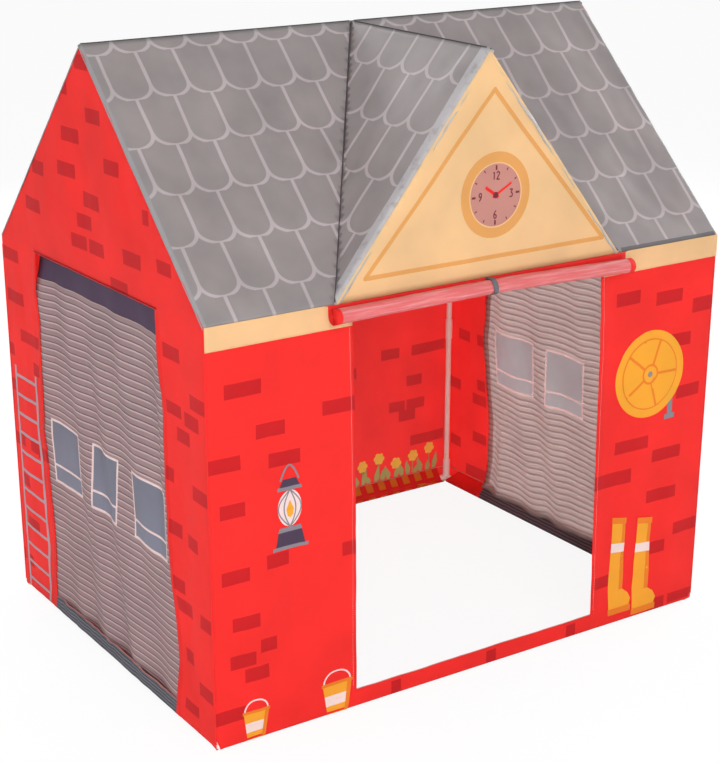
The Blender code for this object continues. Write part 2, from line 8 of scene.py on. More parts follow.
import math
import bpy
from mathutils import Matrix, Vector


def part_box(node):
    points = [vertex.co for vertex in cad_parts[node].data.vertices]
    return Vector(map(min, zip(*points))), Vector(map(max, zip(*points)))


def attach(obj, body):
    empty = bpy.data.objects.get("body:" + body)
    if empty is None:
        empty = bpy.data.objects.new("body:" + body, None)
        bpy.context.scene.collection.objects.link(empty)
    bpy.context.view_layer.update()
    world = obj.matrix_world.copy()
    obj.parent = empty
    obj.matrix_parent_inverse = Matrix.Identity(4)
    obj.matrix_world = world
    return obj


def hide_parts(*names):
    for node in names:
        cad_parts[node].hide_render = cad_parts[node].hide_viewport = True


bl_info = {
    "name": "Fire station play tent",
    "version": (1, 0, 0),
    "blender": (4, 5, 0),
    "location": "3D View > Sidebar > Play tent",
    "description": "Dresses a play tent's frame with its printed cloth cover",
    "category": "Object",
}

from functools import partial

import bmesh
import bpy
from bpy.props import FloatProperty, FloatVectorProperty, PointerProperty
from bpy.types import Node, NodeSocket, Operator, Panel, PropertyGroup
from mathutils import Matrix, Vector, noise

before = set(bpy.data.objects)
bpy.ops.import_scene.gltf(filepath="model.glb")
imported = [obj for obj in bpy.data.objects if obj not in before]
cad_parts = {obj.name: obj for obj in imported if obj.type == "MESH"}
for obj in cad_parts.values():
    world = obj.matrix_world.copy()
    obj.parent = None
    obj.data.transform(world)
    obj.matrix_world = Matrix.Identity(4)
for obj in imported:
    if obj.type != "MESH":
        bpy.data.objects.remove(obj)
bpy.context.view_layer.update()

# Places of the cloth, from the frame's boxes and the lengths that the frame was drawn with
WALL_LOW, WALL_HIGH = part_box("left_wall")
FRONT_LOW, FRONT_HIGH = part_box("front_wall")
MIDDLE_Y = (WALL_LOW.y + WALL_HIGH.y) / 2
MIDDLE = Vector((0, MIDDLE_Y, 0))
HALF_LENGTH = FRONT_HIGH.x
HALF_DEPTH = MIDDLE_Y - FRONT_LOW.y
WALL_TOP = FRONT_HIGH.z
EAVE = 0.720
RIDGE = 1.100
ROOF_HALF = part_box("roof_back")[1].y - MIDDLE_Y
SLOPE = math.atan2(RIDGE - EAVE, ROOF_HALF)
SLOPE_LENGTH = math.hypot(RIDGE - EAVE, ROOF_HALF)
DORMER_HALF = 0.293
DORMER_PEAK = 1.087
DORMER_SLOPE = math.atan2(DORMER_PEAK - EAVE, DORMER_HALF)
DORMER_SLOPE_LENGTH = math.hypot(DORMER_PEAK - EAVE, DORMER_HALF)
DORMER_RISE = (RIDGE - DORMER_PEAK) / ROOF_HALF
# Radii at which the roof turns down over its eave, its ends and the dormer's front, and
# the share of a radius that such a quarter turn takes up beyond it
EAVE_TURN = 0.005
RAKE_TURN = 0.0055
FRONT_TURN = 0.009
TAKEN_UP = math.pi / 2 - 1
# Pediment, fascia, and how far forward the front door's sheet hangs
PEDIMENT_HALF = 0.2905
PEDIMENT_PEAK = 1.0835
SEAM_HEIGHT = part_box("fascia_left")[1].z
FASCIA_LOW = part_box("fascia_left")[0].z
ROLL_SHEET = -ROOF_HALF - 0.0006

# Hem sleeve that a floor rail lies in: its radius, the height of its free top where a
# wall opens, and the height and distance inward of the seam that closes it
RAIL_RADIUS = 0.0098
SILL = 0.036
SLEEVE_SEAM = 0.0345
SLEEVE_INSET = 0.0012
# How far the cloth turns round the rail, where it ends and where the wall's own rows
# start on the flat cloth, and the sleeve's rows between the two
SLEEVE_TURN = math.pi * 1.06
SLEEVE_END = RAIL_RADIUS * (1 - SLEEVE_TURN) - 0.0322
WALL_START = -0.004
SLEEVE_ROWS = [SLEEVE_END + (WALL_START - SLEEVE_END) * i / 12 for i in range(12)]

# Openings: half widths, tops, and where their free edges hang, as (height, across)
DOOR_HALF = 0.260
DOOR_TOP = 0.694
DOOR_LEFT = ((0.027, -0.250), (0.384, -0.255), (0.688, -0.259))
DOOR_RIGHT = ((0.042, 0.270), (0.363, 0.262), (0.681, 0.255))
SIDE_HALF = 0.234
SIDE_TOP = 0.712
SIDE_FRONT = (
    (0.007, -0.248), (0.109, -0.262), (0.157, -0.260), (0.250, -0.244),
    (0.359, -0.241), (0.430, -0.237), (0.542, -0.238), (0.628, -0.231), (0.712, -0.228),
)
SIDE_BACK = (
    (0.001, 0.242), (0.050, 0.228), (0.175, 0.220), (0.270, 0.232), (0.371, 0.246),
    (0.490, 0.237), (0.571, 0.233), (0.636, 0.240), (0.679, 0.231), (0.712, 0.230),
)

# Half height of the printed brick marks
MARK_HALF = 0.012
# The marks of the long walls: low and high edge across, middle height
FRONT_MARKS = (
    (-0.494, -0.428, 0.612), (-0.318, -0.258, 0.553), (-0.438, -0.385, 0.537),
    (-0.415, -0.358, 0.484), (-0.524, -0.468, 0.495), (-0.506, -0.461, 0.416),
    (-0.509, -0.455, 0.303), (-0.423, -0.381, 0.314), (-0.285, -0.251, 0.302),
    (-0.488, -0.440, 0.219), (-0.497, -0.447, 0.153), (-0.437, -0.407, 0.170),
    (-0.470, -0.425, 0.124), (-0.528, -0.466, 0.060), (0.296, 0.350, 0.632),
    (0.386, 0.449, 0.621), (0.475, 0.528, 0.594), (0.422, 0.474, 0.538),
    (0.447, 0.506, 0.436), (0.306, 0.384, 0.355), (0.400, 0.468, 0.322),
    (0.262, 0.347, 0.295), (0.392, 0.463, 0.243), (0.461, 0.526, 0.165),
    (0.400, 0.444, 0.137), (0.270, 0.325, 0.095), (0.410, 0.454, 0.018),
    (0.465, 0.527, 0.020), (-0.179, -0.158, 0.018), (0.028, 0.050, 0.018),
    (0.208, 0.227, 0.018),
)
BACK_MARKS = (
    (0.338, 0.385, 0.329), (0.417, 0.511, 0.330), (0.405, 0.446, 0.259),
    (0.360, 0.400, 0.204), (0.408, 0.454, 0.205), (0.384, 0.429, 0.179),
    (0.420, 0.513, 0.116), (0.300, 0.362, 0.452), (0.432, 0.488, 0.520),
    (0.346, 0.392, 0.610), (0.250, 0.312, 0.570), (0.150, 0.206, 0.630),
    (0.180, 0.246, 0.520), (0.196, 0.240, 0.420), (0.120, 0.176, 0.372),
    (0.040, 0.104, 0.600), (0.020, 0.080, 0.470), (-0.060, -0.008, 0.545),
    (-0.050, 0.000, 0.400), (-0.150, -0.090, 0.640), (-0.170, -0.118, 0.470),
    (-0.130, -0.076, 0.330), (-0.250, -0.190, 0.560), (-0.280, -0.222, 0.410),
    (-0.230, -0.180, 0.290), (-0.350, -0.300, 0.500), (-0.380, -0.316, 0.640),
    (-0.360, -0.306, 0.340), (-0.460, -0.400, 0.570), (-0.480, -0.430, 0.450),
    (-0.440, -0.384, 0.250), (-0.510, -0.460, 0.330), (-0.500, -0.446, 0.180),
    (-0.500, -0.440, 0.090), (-0.410, -0.360, 0.130), (0.216, 0.274, 0.300),
    (0.112, 0.168, 0.256), (0.040, 0.098, 0.322), (0.186, 0.244, 0.186),
    (0.050, 0.104, 0.160), (-0.046, 0.012, 0.236), (-0.110, -0.056, 0.140),
    (-0.206, -0.150, 0.196), (-0.302, -0.246, 0.214), (-0.330, -0.276, 0.106),
    (-0.176, -0.120, 0.078), (-0.020, 0.038, 0.088), (0.116, 0.176, 0.096),
)
# For the gables: middle across, width, middle height
GABLE_MARKS = (
    (-0.002, 0.047, 1.071), (0.068, 0.023, 1.024), (-0.037, 0.056, 0.988),
    (0.055, 0.063, 0.947), (0.196, 0.055, 0.872), (0.074, 0.066, 0.887),
    (-0.101, 0.052, 0.915), (0.227, 0.071, 0.802), (-0.017, 0.064, 0.846),
    (0.013, 0.051, 0.808), (0.038, 0.055, 0.770), (-0.028, 0.058, 0.770),
    (-0.216, 0.021, 0.854), (0.348, 0.065, 0.687), (-0.159, 0.068, 0.777),
    (-0.270, 0.044, 0.786), (-0.105, 0.066, 0.721), (0.339, 0.073, 0.607),
    (0.282, 0.084, 0.538), (0.372, 0.025, 0.499), (0.257, 0.034, 0.484),
    (0.374, 0.025, 0.428), (-0.278, 0.052, 0.653), (-0.355, 0.050, 0.589),
    (-0.274, 0.050, 0.559), (-0.334, 0.050, 0.555), (-0.303, 0.048, 0.522),
    (-0.252, 0.025, 0.445), (-0.356, 0.048, 0.439), (-0.260, 0.043, 0.354),
    (-0.324, 0.041, 0.348), (0.378, 0.025, 0.319), (0.342, 0.020, 0.324),
    (0.288, 0.039, 0.324), (0.253, 0.040, 0.321), (-0.263, 0.041, 0.256),
    (0.343, 0.036, 0.242), (-0.280, 0.061, 0.222), (-0.363, 0.034, 0.222),
    (0.323, 0.051, 0.155), (-0.283, 0.041, 0.138), (-0.355, 0.045, 0.096),
    (0.382, 0.017, 0.074), (0.348, 0.024, 0.068), (-0.293, 0.063, 0.046),
)
RIGHT_MARKS = (
    (0.326, 0.046, 0.360), (0.259, 0.033, 0.360), (0.359, 0.042, 0.241),
    (0.268, 0.025, 0.258), (0.278, 0.039, 0.224), (0.277, 0.044, 0.134),
    (0.352, 0.038, 0.106), (0.277, 0.078, 0.050), (0.243, 0.030, 0.455),
    (0.330, 0.060, 0.560), (0.280, 0.050, 0.620), (0.350, 0.046, 0.690),
)

# Windows printed on the side curtains: low and high edge across, bottom and top
CURTAIN_WINDOWS = {
    "left": ((-0.223, -0.100), (-0.046, 0.060), (0.108, 0.214)),
    "right": ((-0.230, -0.124), (-0.073, 0.045), (0.086, 0.210)),
}
WINDOW_BOTTOM = 0.280
WINDOW_TOP = 0.402

# Side curtains: their rail, their casing round it, how far inward they hang, half their
# width, their lower edge and the lower edge of their header
RAIL_X = 0.5152
CURTAIN_RAIL = 0.71737
CASING_RADIUS = 0.0069
CASING_LENGTH = 0.0346
HANG = -0.0012
CURTAIN_HALF = 0.248
CURTAIN_LOW = 0.0265
HEADER = 0.664

# Front door roll: half its length, its centre from the seam, its radius, how much it
# tightens in a turn and in a radian, its turns, where its flap ends, and its tie
ROLL_HALF = 0.306
ROLL_CENTRE = Vector((-0.01450, -0.01225))
ROLL_RADIUS = 0.0128
ROLL_PITCH = 0.00085
ROLL_TURNS = 12
ROLL_TIGHTENING = ROLL_PITCH / (2 * math.pi)
FLAP_END = ROLL_CENTRE + Vector((ROLL_RADIUS, 0))
TIE_PLACE = 0.005
TIE_WIDTH = 0.009

# Where the shingles' print starts on each panel, from its flat cloth's own start
SHINGLES_START = {"left": (0.502, -0.424), "right": (0.511, -0.430), "back": (0.5, -0.424)}
DORMER_SHINGLES_START = {"left": (0.011, -0.396), "right": (0.034, -0.410)}

# Directions, and the sides whose flat cloth faces inward until it is turned
OUTWARD = {
    "front": Vector((0, -1, 0)), "back": Vector((0, 1, 0)),
    "left": Vector((-1, 0, 0)), "right": Vector((1, 0, 0)),
}
UP = Vector((0, 0, 1))
GABLES = ("left", "right")
SIDES = (("left", -1), ("right", 1))
FACED_INWARD = ("back", "left")

# Usual and least spacing of a panel's lines, the width over which a doubled hem ends,
# the height at which the eave rails hold the walls, and the folds' seeds of the trim
CELL = 0.011
LEAST_CELL = 0.0035
HEM_STEP = 0.0008
HELD_HEIGHT = 0.717
FASCIA_SEED = 52
PEDIMENT_SEED = 53

# Height of a print over its cloth and of each further layer, and a sewing thread's width
PRINT_LIFT = 0.00035
LAYER_LIFT = 0.0002
THREAD_WIDTH = 0.0007


def linear(hex_colour):
    """An sRGB hex colour as linear red, green, blue and full alpha."""
    made = []
    for i in (1, 3, 5):
        share = int(hex_colour[i : i + 2], 16) / 255
        made.append(share / 12.92 if share <= 0.04045 else ((share + 0.055) / 1.055) ** 2.4)
    return (*made, 1.0)


def length_setting(name, description, default):
    return FloatProperty(
        name=name, description=description, default=default, unit="LENGTH", precision=5
    )


def colour_setting(name, description, hex_colour):
    return FloatVectorProperty(
        name=name,
        description=description,
        default=linear(hex_colour)[:3],
        subtype="COLOR",
        min=0,
        max=1,
    )


class TentSizes(PropertyGroup):
    """Sizes of the cloth, its prints and its sewing."""

    cloth: length_setting("Cloth", "Thickness of a panel with its coating", 0.0005)
    fold: length_setting("Fold height", "How far the wide soft folds of a wall stand out", 0.0056)
    crease: length_setting("Crease height", "How far the small creases stand out", 0.0019)
    thread: length_setting("Thread spacing", "Drawn spacing of the weave's threads", 0.0011)
    stitch: length_setting("Stitch length", "Length of one lockstitch", 0.0036)
    shingle_width: length_setting("Shingle width", "Width of a printed shingle", 0.068)
    shingle_row: length_setting("Shingle row", "Height of a row of shingles", 0.0935)
    shingle_line: length_setting("Shingle line", "Width of the shingles' outline", 0.0062)
    corrugation: length_setting("Corrugation", "Pitch of the printed door slats", 0.0128)
    curtain_fold: length_setting("Curtain fold", "Depth of a side curtain's folds", 0.0065)
    clock: length_setting("Clock", "Diameter of the printed clock", 0.140)
    border: length_setting("Border", "Width of the pediment's printed border", 0.0072)
    # The binding's band is pale partly as painted highlight along the dormer's front edge
    binding: length_setting("Binding", "Width of the dormer's pale front binding", 0.022)
    # The band at the roof's ends is a painted highlight where the cloth turns over the rafters
    rake_highlight_band: length_setting("Rake band", "Width of the plain band at the roof's ends", 0.009)
    # The dark band is painted shade where the cloth turns down over the right front eave
    eave_shade_band: length_setting("Eave band", "Width of the dark band at the eaves", 0.011)
    jamb_hem: length_setting("Doorway hem", "Width of the doubled edge of an opening", 0.009)
    seam: length_setting("Seam radius", "Half thickness of a sewn seam's ridge", 0.0011)


class TentColours(PropertyGroup):
    """Colours of the cloth, the prints and the plastic."""

    red: colour_setting("Red", "Walls and the front door's outer side", "#F63733")
    red_inside: colour_setting("Red inside", "Back of the red cloth", "#F06260")
    mark: colour_setting("Brick mark", "Printed brick marks", "#D6252A")
    mark_inside: colour_setting("Brick mark inside", "Marks that show through", "#DA5457")
    cream: colour_setting("Cream", "Fascia and pediment", "#F1D3A2")
    ochre: colour_setting("Ochre", "Border and ring on the pediment", "#DFA661")
    slate: colour_setting("Slate", "Roof between the shingle lines", "#A9A2A2")
    slate_line: colour_setting("Slate line", "Outline of the shingles", "#C9C2C4")
    slat: colour_setting("Door slat", "Side curtains, the slats' faces", "#B7A4A6")
    slat_pale: colour_setting("Slat highlight", "Pale edge of a slat", "#E2D4D5")
    slat_dark: colour_setting("Slat shadow", "Dark edge of a slat", "#837A86")
    slat_inside: colour_setting("Slat inside", "Slats that show through", "#E0E0D8")
    slat_inside_dark: colour_setting("Slat line inside", "Lines that show through", "#C3BDB7")
    pane_inside: colour_setting("Pane inside", "Panes that show through", "#EFF1E4")
    header: colour_setting("Door header", "Dark band over the slats", "#5B4B63")
    # Grey of the sill's print, dark partly as painted shade under the curtain's hem
    sill: colour_setting("Door sill", "Hem under a side curtain", "#74747C")
    pane: colour_setting("Window pane", "Panes printed on the curtains", "#8B93A4")
    pane_line: colour_setting("Window frame", "Frames round the panes", "#ECDFDD")
    ladder: colour_setting("Ladder", "Ladder on the left gable", "#B9A3AC")
    lining: colour_setting("Lining", "Coated side of the front door", "#C65A5B")
    # Painted sheen: pale streaks along the rolled lining that stand in for its satin highlights
    lining_sheen_streaks: colour_setting("Lining streaks", "Where the coating was drawn tight", "#D27F81")
    tape: colour_setting("Tie tape", "Tape round the rolled door", "#7D8288")
    tube: colour_setting("Tube", "Frame tubes", "#F1E8DE")
    socket: colour_setting("Connector", "Frame connectors", "#EFE9E2")
    gold: colour_setting("Gold", "Gold ink of the prints", "#F2AE34")
    orange: colour_setting("Orange", "Shaded gold ink", "#E8862A")
    white: colour_setting("White", "White ink", "#EFE2E0")
    grey: colour_setting("Grey", "Grey ink", "#8F8A93")
    plum: colour_setting("Plum", "Dark ink of the clock", "#7A2E38")
    rose: colour_setting("Rose", "The clock's dial", "#C68E84")
    leaf: colour_setting("Leaf", "Leaves in the planter", "#8A9A45")
    gold_inside: colour_setting("Gold inside", "Gold ink on the inner face", "#FFDA5E")
    leaf_inside: colour_setting("Leaf inside", "Leaves on the inner face", "#B7C37A")
    # Painted highlight along the roof's ends, where the cloth turns over them
    rake: colour_setting("Rake band", "Plain band at the roof's ends", "#ACABAD")
    # Painted shade where the roof's cloth bends over the eave rail
    eave: colour_setting("Eave band", "Band along the eaves", "#7E797C")
    # Pale binding on the dormer's front, partly a painted highlight where the cloth turns over the
    # edge
    scuffed: colour_setting("Binding", "Scuffed binding on the dormer's front", "#C9C7C9")
    seam_dark: colour_setting("Dark seam", "Valleys and ridges", "#5F5A5E")
    seam_red: colour_setting("Red seam", "Seam above the side openings", "#A81C24")
    hem_line: colour_setting("Hem line", "Selvedge of the hem sleeves inside", "#EFA79E")


class StageSettings(PropertyGroup):
    """Floor, light and camera."""

    floor: colour_setting("Floor", "The studio floor", "#F4F4F4")
    key: FloatProperty(
        name="Key light", description="Strength of the large soft light", default=1.27, min=0
    )
    fill: FloatProperty(
        name="Fill", description="Strength of the light from all round", default=0.62, min=0
    )
    lens: FloatProperty(
        name="Lens", description="Focal length on a 36 mm sensor, in mm", default=77.66, min=1
    )


def settings():
    """The scene's sizes, colours and stage settings."""
    scene = bpy.context.scene
    return scene.tent_sizes, scene.tent_colours, scene.tent_stage


# Materials


def add_node(tree, kind, inputs=None, **options):
    """Adds a shader node with its options; an input is a value or what feeds it."""
    made = tree.nodes.new("ShaderNode" + kind)
    for key, value in options.items():
        setattr(made, key, value)
    for key, value in (inputs or {}).items():
        if isinstance(value, Node):
            value = value.outputs[0]
        if isinstance(value, NodeSocket):
            tree.links.new(value, made.inputs[key])
        else:
            made.inputs[key].default_value = value
    return made


def new_material(name):
    """An empty material of that name, and its node tree."""
    made = bpy.data.materials.new(name)
    made.use_nodes = True
    made.node_tree.nodes.clear()
    return made, made.node_tree


# Share of the light that shines through: usually, where cloth is inked, through the
# curtains, and where a print is seen from inside
GLOW = 0.48
INK_GLOW = 0.34
CURTAIN_GLOW = 0.62
INSIDE_GLOW = 0.1


def thread_bump(tree, spacing, strength):
    """Relief of a plain weave: two crossed sets of threads.

    The real threads lie about 0.25 mm apart, too fine to show, so they are drawn at
    the coarser spacing of the settings.
    """
    place = add_node(tree, "UVMap", uv_map="flat")
    scale = 2 * math.pi / (20 * spacing)
    waves = [
        add_node(tree, "TexWave", {"Vector": place, "Scale": scale}, bands_direction=way)
        for way in ("X", "Y")
    ]
    both = add_node(tree, "Math", {0: waves[0].outputs["Fac"], 1: waves[1].outputs["Fac"]})
    height = {"Height": both, "Strength": strength, "Distance": spacing / 6}
    return add_node(tree, "Bump", height)


def woven_polyester(name, colour, patterned=None, dull=0.6, glow=GLOW, mottle_and_sheen=0.05):
    """Thin woven polyester, printed or dyed: dull, with a faint thread grain.

    Light shines through it, so the inside of the tent glows in the cloth's own colour,
    and the dye takes a little unevenly, in patches about 0.1 m wide; on the roof these
    patches are made stronger and are partly painted sheen. The threads shade one another,
    which weakens the mirrored light of all but the coated cloths.
    """
    sizes, _, _ = settings()
    mirrored = 0.5 if dull < 0.5 else 0.18
    made, tree = new_material(name)
    printed = patterned(tree) if patterned else colour
    place = add_node(tree, "UVMap", uv_map="flat")
    cloud = add_node(tree, "TexNoise", {"Vector": place, "Scale": 9, "Detail": 3})
    uneven = {
        "Value": cloud, "From Min": 0.3, "From Max": 0.7,
        "To Min": 1 - mottle_and_sheen, "To Max": 1 + mottle_and_sheen,
    }
    shade = add_node(tree, "MapRange", uneven)
    dyed = add_node(tree, "VectorMath", {0: printed, 3: shade}, operation="SCALE")
    body = {
        "Normal": thread_bump(tree, sizes.thread, 0.22), "Base Color": dyed,
        "Roughness": dull, "IOR": 1.5, "Specular IOR Level": mirrored,
        "Sheen Weight": 0.03, "Sheen Roughness": 0.4,
    }
    front = add_node(tree, "BsdfPrincipled", body)
    behind = add_node(tree, "BsdfTranslucent", {"Color": dyed})
    mixed = add_node(tree, "MixShader", {0: glow, 1: front, 2: behind})
    add_node(tree, "OutputMaterial", {0: mixed})
    made.diffuse_color = (*colour, 1)
    return made


def moulded_plastic(name, colour, rough, wave):
    """Plastic with the faint unevenness that its tool or its drawing leaves on it."""
    made, tree = new_material(name)
    place = add_node(tree, "TexCoord").outputs["Object"]
    cloud = add_node(tree, "TexNoise", {"Vector": place, "Scale": wave, "Detail": 4})
    bump = add_node(tree, "Bump", {"Height": cloud, "Strength": 0.15, "Distance": 0.0003})
    level = {"Value": cloud, "To Min": rough - 0.06, "To Max": rough + 0.08}
    gloss = add_node(tree, "MapRange", level)
    tone = add_node(tree, "MapRange", {"Value": cloud, "To Min": 0.94, "To Max": 1.04})
    dyed = add_node(tree, "VectorMath", {0: colour, 3: tone}, operation="SCALE")
    body = {"Base Color": dyed, "Roughness": gloss, "IOR": 1.49, "Normal": bump}
    add_node(tree, "OutputMaterial", {0: add_node(tree, "BsdfPrincipled", body)})
    made.diffuse_color = (*colour, 1)
    return made


def shingle_print(tree):
    """Rounded shingles in offset rows, printed as pale outlines on slate grey."""
    sizes, colours, _ = settings()
    wide, high = sizes.shingle_width, sizes.shingle_row
    # Depth of a shingle's rounded foot, and the softness of its printed outline
    deep, soft = 0.026, 0.0006
    place = add_node(tree, "SeparateXYZ", {0: add_node(tree, "UVMap", uv_map="flat")})
    rows = add_node(tree, "Math", {0: place.outputs[1], 1: high}, operation="DIVIDE")
    row = add_node(tree, "Math", {0: rows}, operation="FLOOR")
    share = add_node(tree, "Math", {0: rows, 1: row}, operation="SUBTRACT")
    odd = add_node(tree, "Math", {0: row, 1: 2.0}, operation="FLOORED_MODULO")
    half = add_node(tree, "Math", {0: odd, 1: 0.5}, operation="MULTIPLY")
    offset = {0: place.outputs[0], 1: 1 / wide, 2: half}
    columns = add_node(tree, "Math", offset, operation="MULTIPLY_ADD")
    across = add_node(tree, "Math", {0: columns}, operation="FRACT")
    side = add_node(tree, "Math", {0: across, 1: wide, 2: -wide / 2}, operation="MULTIPLY_ADD")
    height = add_node(tree, "Math", {0: share, 1: high, 2: -deep}, operation="MULTIPLY_ADD")
    round_x = add_node(tree, "Math", {0: side, 1: wide / 2}, operation="DIVIDE")
    round_y = add_node(tree, "Math", {0: height, 1: deep}, operation="DIVIDE")
    point = add_node(tree, "CombineXYZ", {0: round_x, 1: round_y})
    away = add_node(tree, "VectorMath", {0: point}, operation="LENGTH").outputs["Value"]
    off = add_node(tree, "Math", {0: away, 1: 1.0}, operation="SUBTRACT")
    off = add_node(tree, "Math", {0: off}, operation="ABSOLUTE")
    arc = add_node(tree, "Math", {0: off, 1: (wide / 2 + deep) / 2}, operation="MULTIPLY")
    reach = add_node(tree, "Math", {0: side}, operation="ABSOLUTE")
    edge = add_node(tree, "Math", {0: wide / 2, 1: reach}, operation="SUBTRACT")
    below = add_node(tree, "Math", {0: height, 1: 0.0}, operation="LESS_THAN")
    far = add_node(tree, "Mix", {0: below, 2: edge, 3: arc})
    limits = {
        "Value": far, "From Min": sizes.shingle_line / 2 - soft,
        "From Max": sizes.shingle_line / 2 + soft, "To Min": 1, "To Max": 0,
    }
    line = add_node(tree, "MapRange", limits)
    made = {0: line, 6: (*colours.slate, 1), 7: (*colours.slate_line, 1)}
    return add_node(tree, "Mix", made, data_type="RGBA").outputs[2]


def slats(tree, stops):
    """A pattern of bars across the cloth; stops are (share of a bar, colour)."""
    sizes, _, _ = settings()
    place = add_node(tree, "SeparateXYZ", {0: add_node(tree, "UVMap", uv_map="flat")})
    rise = {0: place.outputs[1], 1: sizes.corrugation}
    count = add_node(tree, "Math", rise, operation="DIVIDE")
    share = add_node(tree, "Math", {0: count}, operation="FRACT")
    bars = add_node(tree, "ValToRGB", {0: share})
    while len(bars.color_ramp.elements) < len(stops):
        bars.color_ramp.elements.new(0.5)
    for element, (at, colour) in zip(bars.color_ramp.elements, stops):
        element.position = at
        element.color = (*colour, 1)
    return bars.outputs[0]


def slat_print(tree):
    """Rolling door slats: a pale edge, a dark edge and a face between them, repeated."""
    _, colours, _ = settings()
    dark, face, pale = colours.slat_dark, colours.slat, colours.slat_pale
    edges = ((0, dark), (0.10, dark), (0.24, face), (0.72, face), (0.86, pale), (0.95, pale))
    return slats(tree, edges)


def slat_reverse(tree):
    """The slats as they show through on the back of the cloth, paler and softer."""
    _, colours, _ = settings()
    dark, face = colours.slat_inside_dark, colours.slat_inside
    return slats(tree, ((0, dark), (0.12, dark), (0.40, face), (0.80, face), (0.98, dark)))


def sill_print_and_shade(tree):
    """The hem under a side curtain: the slats' lines, bunched and wavering, on a grey that is dark
    partly as painted shade under the curtain.
    """
    sizes, colours, _ = settings()
    place = add_node(tree, "UVMap", uv_map="flat")
    scale = 2 * math.pi / (20 * sizes.corrugation * 0.5)
    look = {"Vector": place, "Scale": scale, "Distortion": 2.2, "Detail": 2, "Detail Scale": 0.6}
    lines = add_node(tree, "TexWave", look, bands_direction="Y")
    limits = {"Value": lines.outputs["Fac"], "To Min": 0.55, "To Max": 1.5}
    shade = add_node(tree, "MapRange", limits)
    return add_node(tree, "VectorMath", {0: colours.sill, 3: shade}, operation="SCALE").outputs[0]


def pane_print(tree):
    """A window pane: blue grey that pales downwards, as a sky is mirrored."""
    _, colours, _ = settings()
    place = add_node(tree, "SeparateXYZ", {0: add_node(tree, "UVMap", uv_map="flat")})
    limits = {
        "Value": place.outputs[1], "From Min": WINDOW_BOTTOM, "From Max": WINDOW_TOP,
        "To Min": 1.12, "To Max": 0.92,
    }
    shade = add_node(tree, "MapRange", limits)
    return add_node(tree, "VectorMath", {0: colours.pane, 3: shade}, operation="SCALE").outputs[0]


def lining_with_painted_sheen(tree):
    """Coated lining with pale streaks along it, a painted sheen that stands in for its satin
    highlights.
    """
    _, colours, _ = settings()
    place = add_node(tree, "UVMap", uv_map="flat")
    drawn = add_node(tree, "VectorMath", {0: place, 1: (11, 190, 1)}, operation="MULTIPLY")
    look = {"Vector": drawn, "Scale": 1, "Detail": 3, "Roughness": 0.6}
    sheen_streak = add_node(tree, "TexNoise", look)
    share = add_node(tree, "MapRange", {"Value": sheen_streak, "From Min": 0.46, "From Max": 0.68})
    made = {0: share, 6: (*colours.lining, 1), 7: (*colours.lining_sheen_streaks, 1)}
    return add_node(tree, "Mix", made, data_type="RGBA").outputs[2]


def binding_and_highlight_print(tree):
    """Pale binding along the dormer's front edge, in patches on the slate print; its paleness is
    partly the binding's own colour and partly a painted highlight where the cloth turns over the
    edge.
    """
    _, colours, _ = settings()
    place = add_node(tree, "UVMap", uv_map="flat")
    look = {"Vector": place, "Scale": 45, "Detail": 5, "Roughness": 0.65}
    patch = add_node(tree, "TexNoise", look)
    share = add_node(tree, "MapRange", {"Value": patch, "From Min": 0.26, "From Max": 0.48})
    made = {0: share, 6: (*colours.slate, 1), 7: (*colours.scuffed, 1)}
    return add_node(tree, "Mix", made, data_type="RGBA").outputs[2]


# For each cloth or ink: its colour, its pattern and how dull it is, and where they aren't
# the usual ones, the share of light that shines through and how uneven the dye is, which
# on the roof is partly painted sheen
CLOTHS = {
    "polyester_printed_red": ("red", None, 0.58),
    "polyester_brick_mark": ("mark", None, 0.6),
    "polyester_red_reverse": ("red_inside", None, 0.66),
    "polyester_mark_reverse": ("mark_inside", None, 0.66),
    "polyester_cream": ("cream", None, 0.55),
    "polyester_ochre_ink": ("ochre", None, 0.6, INK_GLOW),
    # The roof's strong patches are partly uneven dye and partly painted sheen
    "polyester_slate_shingles": ("slate", shingle_print, 0.38, GLOW, 0.10),
    "polyester_slats": ("slat", slat_print, 0.6, CURTAIN_GLOW),
    "polyester_slats_reverse": ("slat_inside", slat_reverse, 0.6, CURTAIN_GLOW),
    "polyester_pane_reverse": ("pane_inside", None, 0.6, CURTAIN_GLOW),
    "polyester_door_header": ("header", None, 0.6),
    # Sill print, dark partly as painted shade under the curtain
    "polyester_door_sill": ("sill", sill_print_and_shade, 0.55),
    "polyester_window_pane": ("pane", pane_print, 0.55, 0.55),
    "polyester_window_frame": ("pane_line", None, 0.6),
    "polyester_ladder_ink": ("ladder", None, 0.6, INK_GLOW),
    # The lining's pale streaks are painted sheen
    "polyester_coated_lining": ("lining", lining_with_painted_sheen, 0.36, 0.06),
    "polyester_tie_tape": ("tape", None, 0.7),
    "ink_gold_inside": ("gold_inside", None, 0.6, INSIDE_GLOW),
    "ink_orange_inside": ("gold_inside", None, 0.6, INSIDE_GLOW),
    "ink_leaf_inside": ("leaf_inside", None, 0.6, INSIDE_GLOW),
    # Painted highlight along the roof's ends
    "polyester_slate_rake": ("rake", None, 0.36),
    # Painted shade along the eave
    "polyester_slate_eave": ("eave", None, 0.36),
    # Pale binding, partly painted highlight along the dormer's front edge
    "polyester_scuffed_binding": ("scuffed", binding_and_highlight_print, 0.34),
    "polyester_dark_seam": ("seam_dark", None, 0.6),
    "polyester_red_seam": ("seam_red", None, 0.6),
    "polyester_selvedge": ("hem_line", None, 0.6),
    "thread_cream": ("cream", None, 0.5),
    "thread_red": ("red", None, 0.5),
    "thread_pale": ("pane_line", None, 0.5),
}
for colour in ("gold", "orange", "white", "grey", "plum", "rose", "leaf"):
    CLOTHS[f"ink_{colour}"] = (colour, None, 0.6, INK_GLOW)


